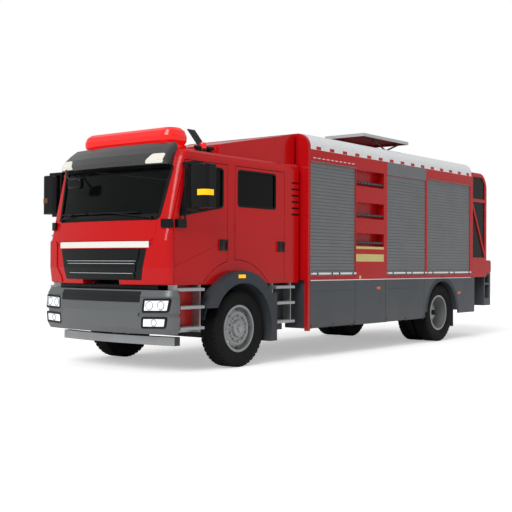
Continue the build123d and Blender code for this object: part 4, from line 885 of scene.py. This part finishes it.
# Door handles: four black strips over each raised plate, round a dark recess behind the grip
handleCover = {"x": {"front": 0.283, "rear": -0.962}, "reach": 0.087, "z": (1.528, 1.674),
               "recess": (-0.066, -0.016), "strip": 0.02, "face": 1.1355, "thickness": 0.0035,
               "bevel": 0.0012, "back": (1.1222, 1.1235), "gap": 0.001, "backBevel": 0.0004}
low, high = handleCover["z"]
inLow, inHigh = low + handleCover["strip"], high - handleCover["strip"]
face, gap = handleCover["face"], handleCover["gap"]
top = face + handleCover["thickness"]
backIn, backOut = handleCover["back"]
for place, x in handleCover["x"].items():
    centre, reach = frontAxleX + x, handleCover["reach"]
    before, after = (centre + edge for edge in handleCover["recess"])
    strips = [bevelledBox((x0, face, z0), (x1, top, z1), handleCover["bevel"])
              for x0, x1, z0, z1 in ((centre - reach, before, low, high),
                                     (after, centre + reach, low, high),
                                     (before, after, low, inLow), (before, after, inHigh, high))]
    back = bevelledBox((before + gap, backIn, inLow + gap), (after - gap, backOut, inHigh - gap),
                       handleCover["backBevel"], 1)
    fittedPair(joined(strips + [back]), f"handleCover_{place}", f"door_{place}",
               blackMouldingAndShade)
print("mirror, roof and door fittings")

# Steps: painted back panels behind the treads, ribs across each tread
stepFit = {"front": (0.76, 1.17), "rear": (-1.165, -0.755), "back": (1.0121, 1.016),
           "z": (0.56, 1.09), "backBevel": 0.001, "treadZ": (0.575, 0.835, 1.055),
           "treadY": (1.02, 1.208), "ribs": 9, "ribHalf": 0.005, "ribRise": 0.004,
           "ribBevel": 0.0015}
inner, outer = stepFit["treadY"]
ribPitch = (outer - inner) / stepFit["ribs"]
ribs = []
for place, paint, slotName in (("front", cabRed, "cab_red"),
                               ("rear", framePaint, "frame_paint")):
    low, high = (frontAxleX + value for value in stepFit[place])
    back = bevelledBox((low, stepFit["back"][0], stepFit["z"][0]),
                       (high, stepFit["back"][1], stepFit["z"][1]), stepFit["backBevel"], 1)
    fitted(bothSides(back), f"stepBackPanels_{place}", "truck", paint)
    for z in stepFit["treadZ"]:
        for step in range(stepFit["ribs"]):
            y, half = inner + ribPitch * (step + 0.5), stepFit["ribHalf"]
            ribs.append(bevelledBox((low, y - half, z - sink),
                                    (high, y + half, z + stepFit["ribRise"]),
                                    stepFit["ribBevel"], 1))
fitted(bothSides(joined(ribs)), "stepTreadRibs", "truck", stepAlu)

# Roof hatch: a pale rim round the lid, and a skin on its top
lidFit = {"rim": 0.0128, "proud": 0.003, "below": 0.047, "height": 0.05, "bevel": 0.0015}
rimZ = lidHigh.z - lidFit["below"]
corners = [(lidLow.x, lidLow.y, rimZ), (lidHigh.x, lidLow.y, rimZ),
           (lidHigh.x, lidHigh.y, rimZ), (lidLow.x, lidHigh.y, rimZ)]
lidFrame = frameOutline(grown(corners, lidFit["proud"]), lidFit["rim"], (0, 0, lidFit["height"]),
                        0, 0)
lidTop = bevelledBox((lidLow.x, lidLow.y, lidHigh.z - sink),
                     (lidHigh.x, lidHigh.y, lidHigh.z + lidFit["proud"]), lidFit["bevel"], 1)
fitted(joined([lidFrame, lidTop]), "lidRimAndSkin", "hatch", lidRimAndSlatHighlight)
print("steps and hatch")

# Inside the cab: dashboard and wheel as in the frame, pedestals, and cushions of woven cloth
cabSeats = {"y": {"right": -0.64, "left": 0.64},
            "pedestal": ((0.24, -0.15, 1.201), (0.62, 0.15, 1.478)),
            "benchBox": ((-1.295, -1.01, 1.201), (-0.85, 1.01, 1.455)), "pedestalBevel": 0.012,
            "seat": ((0.205, -0.235, 1.48), (0.665, 0.235, 1.575)),
            "back": ((0.105, -0.235, 1.56), (0.2, 0.235, 2.19)),
            "head": ((0.115, -0.125, 2.205), (0.185, 0.125, 2.375)),
            "benchSeat": ((-1.235, -1.015, 1.455), (-0.835, 1.015, 1.575)),
            "benchBack": ((-1.34, -1.015, 1.59), (-1.25, 1.015, 2.29)),
            "seatChannels": (-0.45, 0.45), "benchChannels": (-0.5, 0, 0.5)}
cushionShape = {"round": 0.024, "crown": 0.014, "pull": 0.008, "pullFrom": 0.9,
                "channelDepth": 0.007, "channelReach": 0.0175, "channelFade": 4}

# The dashboard and wheel lie ahead of the seats, and the wheel's rim reaches back over them
dashFit = {"seatsTo": 0.55, "legroomTo": 0.72, "wheelFrom": 1.65}
dash = bpy.data.objects.new("dashboardAndWheel", nodes["cab_interior"].data.copy())
bpy.context.scene.collection.objects.link(dash)
editMode(dash, "DESELECT")
objectMode()
for vertex in dash.data.vertices:
    ahead, z = vertex.co.x - frontAxleX, vertex.co.z
    overLegs = ahead < dashFit["legroomTo"] and z < dashFit["wheelFrom"]
    vertex.select = ahead < dashFit["seatsTo"] or overLegs
bpy.ops.object.mode_set(mode="EDIT")
bpy.ops.mesh.delete(type="VERT")
objectMode()
fitted(dash, "dashboardAndWheel", "truck", dashPlastic)
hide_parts("cab_interior")


def cushion(name, corners, axis, channels):
    # Crowned on one face, its sides pulled in between the corners, with sewn channels across
    low, high = corners
    pad = bevelledBox(low, high, cushionShape["round"], 3, 8)
    middle = [(a + b) / 2 for a, b in zip(low, high)]
    half = [(b - a) / 2 for a, b in zip(low, high)]
    across = [i for i in range(3) if i != axis]
    for vertex in pad.data.vertices:
        # Each share is 0 at the cushion's middle and 1 at its side
        share = [(vertex.co[i] - middle[i]) / half[i] for i in range(3)]
        bulge = (1 - share[across[0]] ** 2) * (1 - share[across[1]] ** 2)
        if share[axis] > 0:
            lift = cushionShape["crown"] * bulge
            fade = min(1, bulge * cushionShape["channelFade"])
            for channel in channels:
                away = (share[1] - channel) * half[1] / cushionShape["channelReach"]
                lift -= cushionShape["channelDepth"] * math.exp(-away ** 2) * fade
            vertex.co[axis] += lift
        for i, other in (across, across[::-1]):
            if abs(share[i]) > cushionShape["pullFrom"]:
                pull = cushionShape["pull"] * (1 - share[other] ** 2)
                vertex.co[i] -= math.copysign(pull, share[i])
    fitted(pad, name, "truck", seatCloth, 60)
    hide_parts("cab_interior")


seatBoxes = []
for hand, y in cabSeats["y"].items():
    seatBoxes.append(bevelledBox(*fromAxle(cabSeats["pedestal"], y), cabSeats["pedestalBevel"]))
    for part, axis in (("seat", 2), ("back", 0), ("head", 0)):
        channels = () if part == "head" else cabSeats["seatChannels"]
        cushion(f"{part}Cushion_{hand}", fromAxle(cabSeats[part], y), axis, channels)
seatBoxes.append(bevelledBox(*fromAxle(cabSeats["benchBox"]), cabSeats["pedestalBevel"]))
for part, axis in (("benchSeat", 2), ("benchBack", 0)):
    cushion(f"{part}Cushion", fromAxle(cabSeats[part]), axis, cabSeats["benchChannels"])
pedestals = fitted(joined(seatBoxes), "seatPedestals", "truck", trimGrey)
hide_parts("cab_interior")
print("cab inside")

# Stage: pale floor, soft light from ahead and above, the camera of the photograph
stage = {"floorReach": 60, "floorColour": "#F4F4F4", "floorGlow": 0.4, "worldLight": 0.5,
         "sunPower": 1.9, "sunSoftness": 35, "sunTurn": (0, 52, 12)}
clearSelection()
bpy.ops.mesh.primitive_plane_add(size=stage["floorReach"], location=(0, 0, 0))
floor = bpy.context.object
floor.name = "floor"
floorFinish = bpy.data.materials.new("matteStudioFloor")
floorFinish.use_nodes = True
floorTree = floorFinish.node_tree
floorShader = floorTree.nodes["Principled BSDF"]
floorShader.inputs["Base Color"].default_value = hexColour(stage["floorColour"])
floorShader.inputs["Roughness"].default_value = 0.9
floorShader.inputs["Specular IOR Level"].default_value = 0.1
floorPath = addNode(floorTree, "ShaderNodeLightPath")
floorGlow = addNode(floorTree, "ShaderNodeMath", {"operation": "MULTIPLY"},
                    {0: floorPath.outputs["Is Camera Ray"], 1: stage["floorGlow"]})
floorShader.inputs["Emission Color"].default_value = (1, 1, 1, 1)
floorTree.links.new(floorGlow.outputs[0], floorShader.inputs["Emission Strength"])
floor.data.materials.append(floorFinish)

world = bpy.data.worlds.new("studioWhite")
bpy.context.scene.world = world
world.use_nodes = True
worldTree = world.node_tree
background = worldTree.nodes["Background"]
background.inputs["Color"].default_value = (1, 1, 1, 1)
rays = addNode(worldTree, "ShaderNodeLightPath")
seenRay = addNode(worldTree, "ShaderNodeMath", {"operation": "MAXIMUM"},
                  {0: rays.outputs["Is Camera Ray"], 1: rays.outputs["Is Transmission Ray"]})
worldPower = addNode(worldTree, "ShaderNodeMapRange",
                     inputs={"Value": seenRay.outputs[0], "To Min": stage["worldLight"],
                             "To Max": 1.0})
worldTree.links.new(worldPower.outputs[0], background.inputs["Strength"])

bpy.ops.object.light_add(type="SUN", rotation=[math.radians(a) for a in stage["sunTurn"]])
sun = bpy.context.object
sun.data.energy = stage["sunPower"]
sun.data.angle = math.radians(stage["sunSoftness"])

view = {"place": (12.768, 9.037, 1.363), "heading": 38.25, "pitch": 0.465, "roll": 0.284,
        "lens": 66.35, "sensor": 36, "seesTo": 200}
heading, pitch, roll = (math.radians(view[key]) for key in ("heading", "pitch", "roll"))
forward = Vector((-math.cos(heading) * math.cos(pitch), -math.sin(heading) * math.cos(pitch),
                  math.sin(pitch)))
levelRight = forward.cross(Vector((0, 0, 1))).normalized()
levelUp = levelRight.cross(forward)
right = levelRight * math.cos(roll) + levelUp * math.sin(roll)
up = levelUp * math.cos(roll) - levelRight * math.sin(roll)
bpy.ops.object.camera_add()
camera = bpy.context.object
turn = Matrix((right, up, -forward)).transposed().to_4x4()
camera.matrix_world = Matrix.Translation(view["place"]) @ turn
camera.data.lens = view["lens"]
camera.data.sensor_width = view["sensor"]
camera.data.clip_end = view["seesTo"]
bpy.context.scene.camera = camera
bpy.context.scene.view_settings.view_transform = "Standard"
print("stage, light and camera ready")
